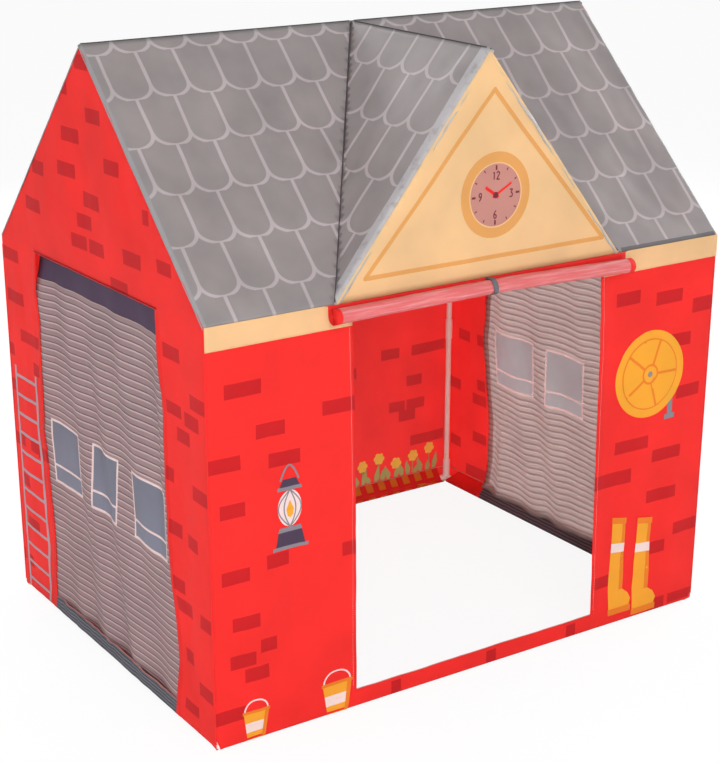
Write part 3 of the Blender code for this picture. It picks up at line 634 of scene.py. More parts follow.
def cloth(name):
    """The named cloth or ink, made when it is first asked for."""
    found = bpy.data.materials.get(name)
    if found:
        return found
    _, colours, _ = settings()
    colour, pattern, *finish = CLOTHS[name]
    return woven_polyester(name, tuple(getattr(colours, colour)), pattern, *finish)


# Flat cloth, and how it is put up


def ramp(distance, reach):
    """0 at a distance of nothing, 1 from reach onwards, with a soft start and end."""
    share = min(max(distance / reach, 0), 1)
    return share * share * (3 - 2 * share)


def between(table, at):
    """Value at a place in a table of (place, value), straight between its rows."""
    if at <= table[0][0]:
        return table[0][1]
    for (low, first), (high, second) in zip(table, table[1:]):
        if at <= high:
            return first + (second - first) * (at - low) / (high - low)
    return table[-1][1]


def ripple(across, up, width, height, seed):
    """Smooth folds of about that width and height, from -1 to 1."""
    return noise.noise(Vector((across / width, up / height, seed * 7.3)))


def grid_lines(low, high, fixed, printed=(), step=CELL):
    """Lines over a span, evenly spaced between the edges that they have to follow."""
    kept = [low, high, *fixed]
    for edge in printed:
        if low < edge < high and all(abs(edge - other) > LEAST_CELL for other in kept):
            kept.append(edge)
    kept.sort()
    lines = []
    for start, end in zip(kept, kept[1:]):
        count = max(1, round((end - start) / step))
        lines += [start + (end - start) * i / count for i in range(count)]
    return lines + [kept[-1]]


def flat_panel(acrosses, ups, paint):
    """A flat mesh on these lines; paint gives each cell's material, or None for a hole."""
    work = bmesh.new()
    points = {}
    for i in range(len(acrosses) - 1):
        for j in range(len(ups) - 1):
            middle = (acrosses[i] + acrosses[i + 1]) / 2, (ups[j] + ups[j + 1]) / 2
            ink = paint(*middle)
            if ink is None:
                continue
            corners = []
            for a, b in ((i, j), (i + 1, j), (i + 1, j + 1), (i, j + 1)):
                if (a, b) not in points:
                    points[a, b] = work.verts.new((acrosses[a], ups[b], 0))
                corners.append(points[a, b])
            work.faces.new(corners).material_index = ink
    return work


def cut(work, point, away, dropped=False):
    """Cuts a flat mesh along a line, and drops the side that falls away if asked to."""
    bmesh.ops.bisect_plane(
        work,
        geom=work.verts[:] + work.edges[:] + work.faces[:],
        plane_co=(*point, 0),
        plane_no=(*away, 0),
        clear_outer=dropped,
    )


def trim(work, *cuts):
    """Trims a flat mesh to lines, each a point and the side that falls away."""
    for point, away in cuts:
        cut(work, point, away, dropped=True)


def map_flat(work, flat_place):
    """Shades a mesh smooth and keeps each corner's place on the flat cloth as its UV."""
    layer = work.loops.layers.uv.new("flat")
    for face in work.faces:
        face.smooth = True
        for loop in face.loops:
            loop[layer].uv = flat_place(loop.vert.co)


def add_piece(name, work, inks):
    """Makes a piece from a finished mesh, in the named cloths or inks."""
    mesh = bpy.data.meshes.new(name)
    work.to_mesh(mesh)
    work.free()
    for ink in inks:
        mesh.materials.append(cloth(ink))
    made = bpy.data.objects.new(name, mesh)
    bpy.context.scene.collection.objects.link(made)
    return made


def put_up(name, work, place, inks, shift=(0, 0), turned=False):
    """Hangs a flat mesh: keeps its flat places as UV, then moves each point."""
    flat = sum(face.calc_area() for face in work.faces)
    spans = [[v.co[k] for v in work.verts] for k in (0, 1)]
    map_flat(work, lambda co: (co.x + shift[0], co.y + shift[1]))
    for vertex in work.verts:
        vertex.co = place(vertex.co.x, vertex.co.y) + MIDDLE
    if turned:
        bmesh.ops.reverse_faces(work, faces=work.faces)
    made = add_piece(name, work, inks)
    made["flat_area"] = flat
    made["flat_size"] = [max(span) - min(span) for span in spans]
    return made


def thicken(made, thickness, reverse=0):
    """Gives cloth its thickness on the inner side, with the reverse's own materials."""
    solid = made.modifiers.new("thickness", "SOLIDIFY")
    solid.thickness = thickness
    solid.offset = -1
    solid.material_offset = reverse
    solid.material_offset_rim = 0


def fit_cloth(made, body, node):
    """Hangs a cloth panel from its body and hides the frame's part that it stands for.

    The prints and seams that go with a panel are made before it and have names that
    begin with the panel's own.
    """
    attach(made, body)
    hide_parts(node)
    tuple(made["flat_size"])


# Where each panel hangs


def sleeve_section(up):
    """Distance inward and height of a wall's cloth, which wraps under its floor rail."""
    if up >= RAIL_RADIUS:
        return 0.0, up
    turn = (RAIL_RADIUS - up) / RAIL_RADIUS
    if turn <= SLEEVE_TURN:
        inward = RAIL_RADIUS - RAIL_RADIUS * math.cos(turn)
        return inward, RAIL_RADIUS - RAIL_RADIUS * math.sin(turn)
    inward, height = sleeve_section(RAIL_RADIUS * (1 - SLEEVE_TURN))
    rest = RAIL_RADIUS * (turn - SLEEVE_TURN)
    run = Vector((SLEEVE_INSET - inward, SLEEVE_SEAM - height))
    share = min(rest / run.length, 1)
    return inward + run.x * share, height + run.y * share


def sleeve_face(side, lift):
    """Places on the inner face of a wall's hem sleeve, by height above the floor."""
    outward = OUTWARD[side]
    leaning = Vector((2 * RAIL_RADIUS - SLEEVE_INSET, SLEEVE_SEAM - RAIL_RADIUS))
    steep = leaning.normalized()

    def place(across, up):
        if up < RAIL_RADIUS:
            inward = RAIL_RADIUS + math.sqrt(RAIL_RADIUS**2 - (RAIL_RADIUS - up) ** 2)
        else:
            share = (up - RAIL_RADIUS) / (SLEEVE_SEAM - RAIL_RADIUS)
            inward = 2 * RAIL_RADIUS + (SLEEVE_INSET - 2 * RAIL_RADIUS) * share
        raised = Vector((steep.y, steep.x)) * (lift + 0.0003)
        away = HALF_DEPTH - inward - raised.x
        return Vector((across, 0, up + raised.y)) + outward * away

    return place


def wall_relief(side, across, up):
    """How far a wall's cloth stands out from its plane.

    Its folds are free between the rails and corners that hold it, and a doubled hem
    stands out by one thickness beside an opening.
    """
    sizes, _, _ = settings()
    seed = {"front": 1, "back": 2, "left": 3, "right": 4}[side]
    gable = side in GABLES
    half = HALF_DEPTH if gable else HALF_LENGTH
    free = ramp(half - abs(across), 0.07) * ramp(abs(up - HELD_HEIGHT) - 0.004, 0.09)
    free *= ramp(up - 0.012, 0.07)
    if gable:
        under_roof = (RIDGE - up) * math.cos(SLOPE) - abs(across) * math.sin(SLOPE)
        free *= ramp(under_roof - 0.004, 0.07)
    broad = ripple(across, up, 0.17, 0.55, seed)
    broad += 0.5 * ripple(across, up, 0.08, 0.3, seed + 9)
    small = ripple(across, up, 0.035, 0.06, seed + 20)
    small += 0.6 * ripple(across, up, 0.014, 0.03, seed + 30)
    calm = 0.25 + 0.75 * ramp(half - abs(across), 0.03)
    out = sizes.fold * free * broad + sizes.crease * (0.35 * calm + 0.5 * free) * small
    if gable and up < SIDE_TOP:
        edge = abs(abs(across) - SIDE_HALF)
        wave = ripple(up, across, 0.10, 0.4, seed + 40)
        out += 0.0030 * ramp(0.06 - edge, 0.06) * wave * free
        beyond = abs(across) - SIDE_HALF - sizes.jamb_hem
        out += sizes.cloth * (1 - ramp(beyond, HEM_STEP))
    if side == "front" and SILL < up < DOOR_TOP:
        beyond = abs(across) - DOOR_HALF - sizes.jamb_hem
        out += sizes.cloth * (1 - ramp(beyond, HEM_STEP))
    return out


def wall_shift(side, across, up):
    """How far a wall's print and openings are drawn sideways by their free edges."""
    if side == "back":
        return 0.0
    if side == "front":
        half, reach = DOOR_HALF, 0.10
        left, right = between(DOOR_LEFT, up) + half, between(DOOR_RIGHT, up) - half
    else:
        half, reach = SIDE_HALF, 0.12
        left, right = between(SIDE_FRONT, up) + half, between(SIDE_BACK, up) - half
    near_left = ramp(reach - abs(across + half), reach)
    near_right = ramp(reach - abs(across - half), reach)
    return left * near_left + right * near_right


def wall_place(side, lift=0.0):
    """The function that hangs a wall, or a print that lies on it by the lift."""
    outward = OUTWARD[side]
    gable = side in GABLES
    along = Vector((0, 1, 0)) if gable else Vector((1, 0, 0))
    distance = HALF_LENGTH if gable else HALF_DEPTH

    def place(across, up):
        inward, height = sleeve_section(up)
        shifted = across + wall_shift(side, across, max(up, 0))
        out = wall_relief(side, across, up) + lift if up > 0 else lift * 0.2
        if gable and 0 < up <= SILL:
            bunch = ramp(SIDE_HALF - abs(across), 0.02) * up / SILL
            height += 0.0035 * bunch * ripple(across, 0, 0.035, 1, 44)
            out -= 0.0030 * bunch * (0.5 + ripple(across, up, 0.02, 0.02, 45))
        return along * shifted + UP * height + outward * (distance - inward + out)

    return place


def hit(marks, across, up):
    """Whether a place lies on one of the printed marks (low, high, middle height)."""
    return any(
        low < across < high and abs(up - middle) < MARK_HALF for low, high, middle in marks
    )


def spread(marks):
    """Marks given by middle and width, as low and high edges."""
    return [(middle - width / 2, middle + width / 2, up) for middle, width, up in marks]


def mark_edges(marks):
    """The printed marks' edges, across and up."""
    acrosses = [edge for low, high, _ in marks for edge in (low, high)]
    ups = [edge for _, _, at in marks for edge in (at - MARK_HALF, at + MARK_HALF)]
    return acrosses, ups


def opening_edges(half):
    """Lines that an opening's edges and their doubled hems need, on both sides."""
    sizes, _, _ = settings()
    hem = half + sizes.jamb_hem
    return [sign * at for at in (half, hem, hem + HEM_STEP) for sign in (-1, 1)]


# A wall's cloth, brick marks and sill on its outer side, and the same on its inner side
WALL_INKS = (
    "polyester_printed_red", "polyester_brick_mark", "polyester_door_sill",
    "polyester_red_reverse", "polyester_mark_reverse", "polyester_door_sill",
)


def hang_wall(side, marks, half, top, edges, levels, paint, cuts):
    """A wall's printed cloth with its sleeve, cut to its outline and put up.

    Edges and levels are the lines that its opening needs; cuts gives the lines that
    trim its left (-1) or right (1) side.
    """
    sizes, _, _ = settings()
    acrosses, ups = mark_edges(marks)
    lines = grid_lines(-half, half, edges, acrosses)
    rows = grid_lines(WALL_START, top, (RAIL_RADIUS, 0.02, *levels), ups)
    work = flat_panel(lines, SLEEVE_ROWS + rows, paint)
    for sign in (-1, 1):
        trim(work, *cuts(sign))
    turned = side in FACED_INWARD
    made = put_up(f"{side}_wall_cloth", work, wall_place(side), WALL_INKS, turned=turned)
    thicken(made, sizes.cloth, 3)
    return made


def hang_long_wall(side, marks):
    """The front wall with its doorway or the back wall, with rounded lower corners."""
    opening = side == "front"

    def paint(across, up):
        if opening and abs(across) < DOOR_HALF and SILL < up < DOOR_TOP:
            return None
        return 1 if hit(marks, across, up) else 0

    def cuts(sign):
        edge = sign * HALF_LENGTH
        return (
            ((edge, 0.014), (sign * 2, -1)),
            ((edge - sign * 0.006, 0.003), (sign, -1)),
            ((edge - sign * 0.012, WALL_START), (sign * 2.5, -1)),
        )

    top, edges, levels = WALL_TOP, (), ()
    if opening:
        top = min(WALL_TOP, SEAM_HEIGHT + 0.0003)
        edges, levels = opening_edges(DOOR_HALF), (SILL, DOOR_TOP)
    return hang_wall(side, marks, HALF_LENGTH, top, edges, levels, paint, cuts)


def hang_gable(side, marks):
    """A gable wall with its door opening, cut under the roof's slopes."""
    half = HALF_DEPTH - 0.0009
    top = RIDGE - 0.0022 / math.cos(SLOPE)

    def paint(across, up):
        if abs(across) < SIDE_HALF:
            if SILL < up < SIDE_TOP:
                return None
            # Under the opening the sleeve takes the sill print, dark partly as painted shade
            if up < SILL:
                return 2
        return 1 if hit(marks, across, up) else 0

    def cuts(sign):
        return (
            ((0, top), (sign * math.sin(SLOPE), math.cos(SLOPE))),
            ((sign * half, 0.006), (sign * 1.2, -1)),
        )

    edges, levels = opening_edges(SIDE_HALF), (SILL, SIDE_TOP)
    return hang_wall(side, marks, half, top, edges, levels, paint, cuts)


def rolled_edge(distance, radius):
    """Place of cloth that turns down over an edge: from the edge, and below the plane."""
    quarter = radius * math.pi / 2
    if distance >= quarter:
        return distance - quarter + radius, 0.0
    turn = (quarter - max(distance, 0)) / radius
    return radius - radius * math.sin(turn), radius - radius * math.cos(turn)


def roof_place(front=True):
    """The function that lays a main roof slope; across is X and up runs up the slope."""
    sign, seed = (-1, 50) if front else (1, 51)
    normal = Vector((0, sign * math.sin(SLOPE), math.cos(SLOPE)))
    end = HALF_LENGTH + 0.0008

    def place(across, up):
        side = 1 if across > 0 else -1
        inset, end_drop = rolled_edge(end + 0.0022 - abs(across), RAKE_TURN)
        run, eave_drop = rolled_edge(up, EAVE_TURN)
        y = sign * (ROOF_HALF + 0.0006 - run * math.cos(SLOPE))
        z = EAVE - 0.0004 + run * math.sin(SLOPE)
        free = ramp(end - abs(across), 0.05) * ramp(up, 0.05) * ramp(SLOPE_LENGTH - up, 0.06)
        if front:
            valley = abs(across) - DORMER_HALF * (1 - up / SLOPE_LENGTH)
            free *= ramp(valley, 0.05)
        out = 0.0050 * free * ripple(across, up, 0.15, 0.24, seed)
        out += 0.0024 * (0.10 + free) * ripple(across + up * 0.4, up, 0.045, 0.12, seed + 2)
        out += 0.0009 * (0.2 + free) * ripple(across - up * 0.3, up, 0.017, 0.05, seed + 3)
        eaves = math.exp(-((up / 0.018) ** 2)) * (1.0 if across > 0 else 0.35)
        crumple = eaves + 0.5 * math.exp(-(((end - abs(across)) / 0.016) ** 2))
        out += 0.0019 * crumple * ripple(across, up, 0.010, 0.03, seed + 4)
        point = Vector((side * (end - inset), y, z))
        return point + normal * (out - min(eave_drop + end_drop, RAKE_TURN))

    return place


def dormer_place(sign):
    """The function that lays a dormer slope; across runs back and up runs up the slope."""
    slope = Vector((-sign * math.cos(DORMER_SLOPE), 0, math.sin(DORMER_SLOPE)))
    back = Vector((0, 1, DORMER_RISE))
    normal = slope.cross(back).normalized() * (-sign)
    foot = Vector((sign * DORMER_HALF, -ROOF_HALF - 0.0008, EAVE))

    def place(across, up):
        inset, drop = rolled_edge(across, FRONT_TURN)
        free = ramp(across, 0.05) * ramp(DORMER_SLOPE_LENGTH - up, 0.05)
        valley = ROOF_HALF * up / DORMER_SLOPE_LENGTH - across
        free *= ramp(valley, 0.05)
        out = 0.0034 * free * ripple(across, up, 0.12, 0.22, 60 + sign)
        out += 0.0018 * (0.25 + free) * ripple(across, up, 0.035, 0.08, 62 + sign)
        front = math.exp(-((across / 0.022) ** 2))
        out += 0.0024 * front * ripple(across, up, 0.03, 0.022, 64 + sign)
        return foot + slope * up + back * inset + normal * (out - drop)

    return place


def trim_place(seed, lift=0.0):
    """The function that hangs the fascia or the pediment, flat in front of the eave."""

    def place(across, up):
        free = ramp(up - SEAM_HEIGHT, 0.03)
        relief = 0.0022 * free * ripple(across, up, 0.14, 0.16, seed)
        relief += 0.0007 * ripple(across, up, 0.045, 0.05, seed + 1)
        relief += 0.0003 * ripple(across, up, 0.014, 0.02, seed + 2)
        return Vector((across, -ROOF_HALF - 0.0004 - lift - relief, up))

    return place


def curtain_place(side):
    """The function that hangs a side curtain: a casing round its rail, then folds.

    Its edges follow the wall's free edges and are held to the wall's inner face.
    """
    sizes, _, _ = settings()
    inward = -OUTWARD[side]
    seed = 70 if side == "left" else 75

    def place(across, up):
        if up > CURTAIN_RAIL:
            turn = (up - CURTAIN_RAIL) / CASING_RADIUS
            run, height = CASING_RADIUS * math.cos(turn), CASING_RADIUS * math.sin(turn)
            rail = Vector((-inward.x * RAIL_X, across, CURTAIN_RAIL))
            return rail + (inward * run + UP * height)
        down = (CURTAIN_RAIL - up) / (CURTAIN_RAIL - CURTAIN_LOW)
        lean = across + 0.16 * down
        swerve = 1.9 * ripple(across, up, 0.16, 0.5, seed)
        fold = 0.62 * math.cos(2 * math.pi * lean / 0.124 + swerve)
        fold += 0.8 * ripple(lean, up, 0.05, 0.5, seed + 1)
        fold += 0.15 * ripple(lean, up, 0.016, 0.09, seed + 2)
        fold = max(-1.0, min(1.0, fold))
        deep = (1.0 if side == "left" else 0.55) * sizes.curtain_fold
        deep *= ramp(down + 0.16, 0.5) * ramp(down, 0.05)
        run = CASING_RADIUS + (HANG - CASING_RADIUS) * min(down * 1.6, 1) + deep * fold
        edge = between(SIDE_FRONT, up) + SIDE_HALF
        if across >= 0:
            edge = between(SIDE_BACK, up) - SIDE_HALF
        shifted = across + edge * ramp(abs(across) - 0.13, 0.10)
        # The place on the wall's flat cloth that hangs here, found in two steps
        beside = shifted - wall_shift(side, shifted, up)
        beside = shifted - wall_shift(side, beside, up)
        wall = RAIL_X - HALF_LENGTH - wall_relief(side, beside, up) + 2 * sizes.cloth + 0.0010
        held = ramp(abs(across) - 0.185, 0.045) * min(down * 7, 1)
        run = max(run + (wall - run) * held, wall)
        dip = 0.003 * down * (1 + fold) * (1 - held)
        share = min(max((up - dip - RAIL_RADIUS) / (SLEEVE_SEAM - RAIL_RADIUS), 0), 1)
        if share < 1:
            sleeve = RAIL_RADIUS - (2 * RAIL_RADIUS - SLEEVE_INSET) * share
            run = max(run, sleeve + 0.0014)
        return Vector((-inward.x * RAIL_X, shifted, up - dip)) + inward * run

    return place


def roll_section(length):
    """The front door's section from its seam: how far out and up, for cloth so long."""
    if length <= FLAP_END.length:
        return FLAP_END * (length / FLAP_END.length), None
    length -= FLAP_END.length
    wound = math.sqrt(ROLL_RADIUS**2 - 2 * ROLL_TIGHTENING * length)
    turn = (ROLL_RADIUS - wound) / ROLL_TIGHTENING
    radius = ROLL_RADIUS - ROLL_TIGHTENING * turn
    return Vector((radius * math.cos(turn), -radius * math.sin(turn))), turn


def roll_droop(across):
    """How far the rolled door hangs below its tie, most at its right end."""
    off = across - TIE_PLACE
    deepest = 0.0020 if off < 0 else 0.0085
    share = min(abs(off) / ROLL_HALF, 1)
    return deepest * share**1.4


def roll_place(across, up):
    """Hangs the rolled front door; up runs along the cloth from its seam."""
    point, turn = roll_section(up)
    foot = Vector((across, ROLL_SHEET, SEAM_HEIGHT))
    droop = roll_droop(across)
    if turn is None:
        share = up / FLAP_END.length
        slack = 0.0012 * math.sin(math.pi * share) * ripple(across, up, 0.05, 0.05, 80)
        return foot + Vector((0, point.x - slack, point.y - droop * share))
    spin = turn % (2 * math.pi)
    loose = 1 + 0.04 * ripple(across, math.cos(spin), 0.045, 0.9, 81)
    loose += 0.03 * ripple(across, math.sin(spin), 0.018, 0.5, 82)
    tied = 1 - 0.07 * math.exp(-(((across - TIE_PLACE) / 0.012) ** 2))
    end = 1 + 0.05 * ramp(abs(across) - ROLL_HALF + 0.03, 0.03)
    point = ROLL_CENTRE + point * loose * tied * end
    back = FLAP_END.x + 0.0004
    return foot + Vector((0, min(point.x, back), point.y - droop))


# Prints that lie on a panel


def disc(centre, radius, count):
    """Outline of a round spot."""
    turns = [2 * math.pi * i / count for i in range(count)]
    return [(centre[0] + radius * math.cos(t), centre[1] + radius * math.sin(t)) for t in turns]


def stroke(points, width):
    """Outline of a line of that width through the points."""
    left, right = [], []
    for i, point in enumerate(points):
        before = Vector(points[max(i - 1, 0)])
        after = Vector(points[min(i + 1, len(points) - 1)])
        run = (after - before).normalized() * width / 2
        left.append((point[0] - run.y, point[1] + run.x))
        right.append((point[0] + run.y, point[1] - run.x))
    return left + right[::-1]


def box(low_x, low_y, high_x, high_y):
    return [(low_x, low_y), (high_x, low_y), (high_x, high_y), (low_x, high_y)]


def spoke(centre, degrees, start, end, wide):
    """Outline of a bar that points away from a centre, clockwise from the top."""
    way = Vector((math.sin(math.radians(degrees)), math.cos(math.radians(degrees))))
    return stroke([centre + way * start, centre + way * end], wide)


def lay_print(name, shapes, place_at, step=0.012, turned=False):
    """Prints on a panel: each shape is (ink, layer, outline), later layers on top.

    A shape is cut into cells of the step, so that it can follow the cloth's folds.
    """
    inks = sorted({shape[0] for shape in shapes})
    work = bmesh.new()
    for ink, layer, outline in shapes:
        piece = bmesh.new()
        piece.faces.new([piece.verts.new((x, y, 0)) for x, y in outline])
        bmesh.ops.triangulate(piece, faces=piece.faces[:])
        for axis, away in enumerate(((1, 0), (0, 1))):
            values = [vertex.co[axis] for vertex in piece.verts]
            line = math.ceil(min(values) / step) * step
            while line < max(values):
                cut(piece, (away[0] * line, away[1] * line), away)
                line += step
        copies = {}
        for face in piece.faces:
            for vertex in face.verts:
                if vertex not in copies:
                    copies[vertex] = work.verts.new((vertex.co.x, vertex.co.y, layer))
            made = work.faces.new([copies[vertex] for vertex in face.verts])
            made.material_index = inks.index(ink)
        piece.free()
    bmesh.ops.recalc_face_normals(work, faces=work.faces)
    for face in work.faces:
        face.normal_update()
        if face.normal.z < 0:
            face.normal_flip()
    map_flat(work, lambda co: (co.x, co.y))
    places = {layer: place_at(PRINT_LIFT + LAYER_LIFT * layer) for _, layer, _ in shapes}
    for vertex in work.verts:
        across, up, layer = vertex.co
        vertex.co = places[round(layer)](across, up) + MIDDLE
    if turned:
        bmesh.ops.reverse_faces(work, faces=work.faces)
    made = add_piece(name, work, inks)
    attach(made, "tent")


# Sewing


def sew_on(name, work, ink):
    """Makes a seam or a row of stitches from a mesh in the tent's own frame."""
    map_flat(work, lambda co: (co.x + co.y, co.z))
    bmesh.ops.translate(work, vec=MIDDLE, verts=work.verts)
    made = add_piece(name, work, (ink,))
    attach(made, "tent")


def stitch_line(name, start, end, place_at, ink):
    """Lockstitches between two flat places, each a small raised bead of thread."""
    sizes, _, _ = settings()
    flat, high = place_at(0.0004), place_at(0.0009)
    start, end = Vector(start), Vector(end)
    count = max(1, round((end - start).length / sizes.stitch))
    side = Vector((start.y - end.y, end.x - start.x)).normalized() * THREAD_WIDTH / 2
    work = bmesh.new()
    for i in range(count):
        low = start.lerp(end, (i + 0.14) / count)
        top = start.lerp(end, (i + 0.86) / count)
        middle = (low + top) / 2
        rim = [work.verts.new(flat(*p)) for p in (low, middle - side, top, middle + side)]
        crown = work.verts.new(high(*middle))
        for a, b in zip(rim, rim[1:] + rim[:1]):
            work.faces.new((a, b, crown))
    sew_on(name, work, ink)


def seam(name, place, start, end, radius, ink, normal=UP):
    """A sewn ridge of six sides between two flat places on a panel."""
    first, last = Vector(start), Vector(end)
    count = max(1, round((last - first).length / CELL))
    points = [place(*first.lerp(last, i / count)) for i in range(count)] + [place(*end)]
    work = bmesh.new()
    rings = []
    for i, point in enumerate(points):
        run = (points[min(i + 1, len(points) - 1)] - points[max(i - 1, 0)]).normalized()
        out = (normal - run * normal.dot(run)).normalized()
        side = run.cross(out)
        turns = [2 * math.pi * k / 6 for k in range(6)]
        spots = [(side * math.cos(turn) + out * math.sin(turn)) * radius for turn in turns]
        rings.append([work.verts.new(point + spot) for spot in spots])
    for low, high in zip(rings, rings[1:]):
        for k in range(6):
            work.faces.new((low[k], low[(k + 1) % 6], high[(k + 1) % 6], high[k]))
    work.faces.new(rings[0][::-1])
    work.faces.new(rings[-1])
    bmesh.ops.recalc_face_normals(work, faces=work.faces)
    sew_on(name, work, ink)


# Operators


class TENT_OT_wall_prints(Operator):
    """Prints the lantern, buckets, wheel, boots, planter and ladder on the walls"""

    bl_idname = "tent.wall_prints"
    bl_label = "Wall prints"

    def execute(self, context):
        both_sides("front_wall_lantern", lantern_shapes(-0.378, 0.328), "front")
        for side, x, size in (("left", -0.449, 0.92), ("right", -0.296, 1.0)):
            both_sides(f"front_wall_bucket_{side}", bucket_shapes(x, 0.004, size), "front")
        both_sides("front_wall_wheel", wheel_shapes(0.380, 0.484), "front")
        both_sides("front_wall_boots", boot_shapes(0.370, 0.010), "front")
        stripes, flowers = planter_shapes(0.262, 0.494)
        both_sides("back_wall_flowers", flowers, "back")
        outside, inside = partial(wall_place, "back"), partial(sleeve_face, "back")
        lay_print("back_wall_planter", stripes, outside, turned=True)
        lay_print("back_wall_planter_inside", stripes, inside, step=0.006)
        both_sides("left_wall_ladder", ladder_shapes(0.263, 0.360, 0.012, 0.470), "left")
        return {"FINISHED"}


def both_sides(name, shapes, side):
    """A wall's print on its outer face, and as it shows through on the inner face."""
    sizes, _, _ = settings()
    turned = side in FACED_INWARD
    lay_print(name, shapes, partial(wall_place, side), turned=turned)
    seen = []
    for ink, layer, outline in shapes:
        pale = f"{ink}_inside"
        seen.append((pale if pale in CLOTHS else ink, layer, outline))

    def inner(lift):
        return wall_place(side, -sizes.cloth - lift)

    lay_print(f"{name}_inside", seen, inner, turned=not turned)


def moved(points, x, z, size=1.0):
    """Outline of points in millimetres, moved to its place on the cloth."""
    return [(x + px * size / 1000, z + pz * size / 1000) for px, pz in points]


def lantern_shapes(x, z):
    """A hand lantern on a plinth, in greys with a gold flame."""
    grey, pale, dark = "ink_grey", "ink_white", "polyester_door_header"
    arch = [(-17 + 34 * i / 12, 118 + 25 * math.sin(math.pi * i / 12)) for i in range(13)]
    shapes = [(grey, 0, stroke(moved(arch, x, z), 0.0032))]
    outlines = (
        (grey, 0, [(-33, 0), (33, 0), (33, 6), (-33, 6)]),
        (dark, 0, [(-27, 6), (27, 6), (22, 30), (-22, 30)]),
        (grey, 1, [(-23, 30), (23, 30), (20, 38), (-20, 38)]),
        (dark, 0, [(-19, 106), (19, 106), (12, 120), (-12, 120)]),
        (grey, 1, [(-23, 101), (23, 101), (21, 107), (-21, 107)]),
    )
    shapes += [(ink, layer, moved(points, x, z)) for ink, layer, points in outlines]
    turns = [math.pi * i / 14 for i in range(28)]
    glass = [(22 * math.sin(turn), 70 - 31 * math.cos(turn)) for turn in turns]
    shapes.append((pale, 1, moved(glass, x, z)))
    for bow in (-21, -11, 11, 21):
        wire = [(bow * math.sin(math.pi * i / 12), 38 + 64 * i / 12) for i in range(13)]
        shapes.append((grey, 2, stroke(moved(wire, x, z), 0.0022)))
    flame = [(0, 84), (7, 68), (5, 58), (0, 54), (-5, 58), (-7, 68)]
    shapes.append(("ink_gold", 3, moved(flame, x, z)))
    return shapes


def bucket_shapes(x, z, size):
    """A fire bucket: gold with a white band and an orange rim."""
    turns = [math.pi * i / 12 for i in range(13)]
    bow = [(-24 * math.cos(turn), 58 + 22 * math.sin(turn)) for turn in turns]
    outlines = (
        ("ink_gold", 0, [(-18, 0), (18, 0), (26, 56), (-26, 56)]),
        ("ink_white", 1, [(-20.5, 17), (20.5, 17), (23, 36), (-23, 36)]),
        ("ink_orange", 1, [(-28, 54), (28, 54), (28, 60), (-28, 60)]),
        ("ink_orange", 2, [(11, 0), (18, 0), (26, 54), (18, 54)]),
    )
    shapes = [(ink, layer, moved(points, x, z, size)) for ink, layer, points in outlines]
    return shapes + [("ink_white", 0, stroke(moved(bow, x, z, size), 0.0028))]


def wheel_shapes(x, z):
    """A valve's hand wheel: gold disc, orange rim line, spokes and hub, grey stem."""
    centre = Vector((x, z))
    shapes = [
        ("ink_grey", 0, box(x + 0.048, z - 0.086, x + 0.060, z + 0.020)),
        ("ink_grey", 0, box(x + 0.041, z - 0.094, x + 0.067, z - 0.084)),
        ("ink_gold", 1, disc(centre, 0.081, 64)),
        ("ink_orange", 2, disc(centre, 0.0660, 56)),
        ("ink_gold", 3, disc(centre, 0.0635, 56)),
        ("ink_orange", 5, disc(centre, 0.0190, 28)),
        ("ink_gold", 6, disc(centre, 0.0150, 28)),
        ("ink_grey", 7, disc(centre, 0.0060, 6)),
    ]
    for i in range(5):
        shapes.append(("ink_orange", 4, spoke(centre, 72 * i + 20, 0.018, 0.064, 0.0050)))
    return shapes


def boot_shapes(x, z):
    """A pair of rubber boots: gold, with an orange sole and shade and a white band."""
    boot = [
        (-20, 12), (34, 12), (38, 24), (30, 38), (16, 48), (14, 190), (-18, 196), (-22, 60),
    ]
    sole = [(-22, 0), (-2, 0), (-1, 5), (6, 5), (8, 0), (38, 0), (38, 12), (-22, 12)]
    band = [(-20.6, 128), (14.8, 124), (14.6, 142), (-20.2, 146)]
    top = [(-20, 186), (16, 180), (16, 192), (-20, 198)]
    shade = [(6, 48), (16, 48), (14, 184), (7, 184)]
    shapes = []
    for i, (dx, dz) in enumerate(((-40, 12), (22, 0))):
        for ink, layer, points in (
            ("ink_gold", 0, boot), ("ink_orange", 1, shade), ("ink_orange", 1, sole),
            ("ink_white", 2, band), ("ink_orange", 3, top),
        ):
            shapes.append((ink, layer + 4 * i, moved([(a + dx, b + dz) for a, b in points], x, z)))
    return shapes


def planter_shapes(low, high):
    """A striped flower box on the hem, and the flowers and leaves above it."""
    top = SLEEVE_SEAM - 0.001
    stripes = [("ink_orange", 0, box(low, 0.003, high, top))]
    count = 7
    wide = (high - low) / count
    for i in range(count):
        at = low + wide * (i + 0.5)
        stripes.append(("polyester_printed_red", 1, box(at, 0.003, at + wide * 0.48, top)))
    flowers = []
    for i in range(13):
        x = low + 0.010 + (high - low - 0.020) * i / 12
        lean = 11 * math.sin(i * 2.3)
        tall = 26 + 16 * math.sin(i * 1.7) ** 2
        leaf = [
            (-3, -2), (3, -2), (8 + lean * 0.4, tall * 0.45), (lean + 2, tall * 0.85),
            (lean, tall), (lean - 4, tall * 0.8), (-7 + lean * 0.4, tall * 0.45),
        ]
        flowers.append(("ink_leaf", i % 2, moved(leaf, x, top)))
    for i in range(5):
        x = low + 0.026 + (high - low - 0.050) * i / 4
        up = top + 0.046 + 0.011 * math.sin(i * 2.1)
        flowers.append(("ink_leaf", 2, box(x - 0.0009, top, x + 0.0009, up)))
        for k in range(6):
            turn = math.pi * k / 3 + i
            petal = (x + 0.0085 * math.cos(turn), up + 0.0085 * math.sin(turn))
            flowers.append(("ink_gold", 3, disc(petal, 0.0058, 12)))
        flowers.append(("ink_orange", 4, disc((x, up), 0.0046, 12)))
    return stripes, flowers


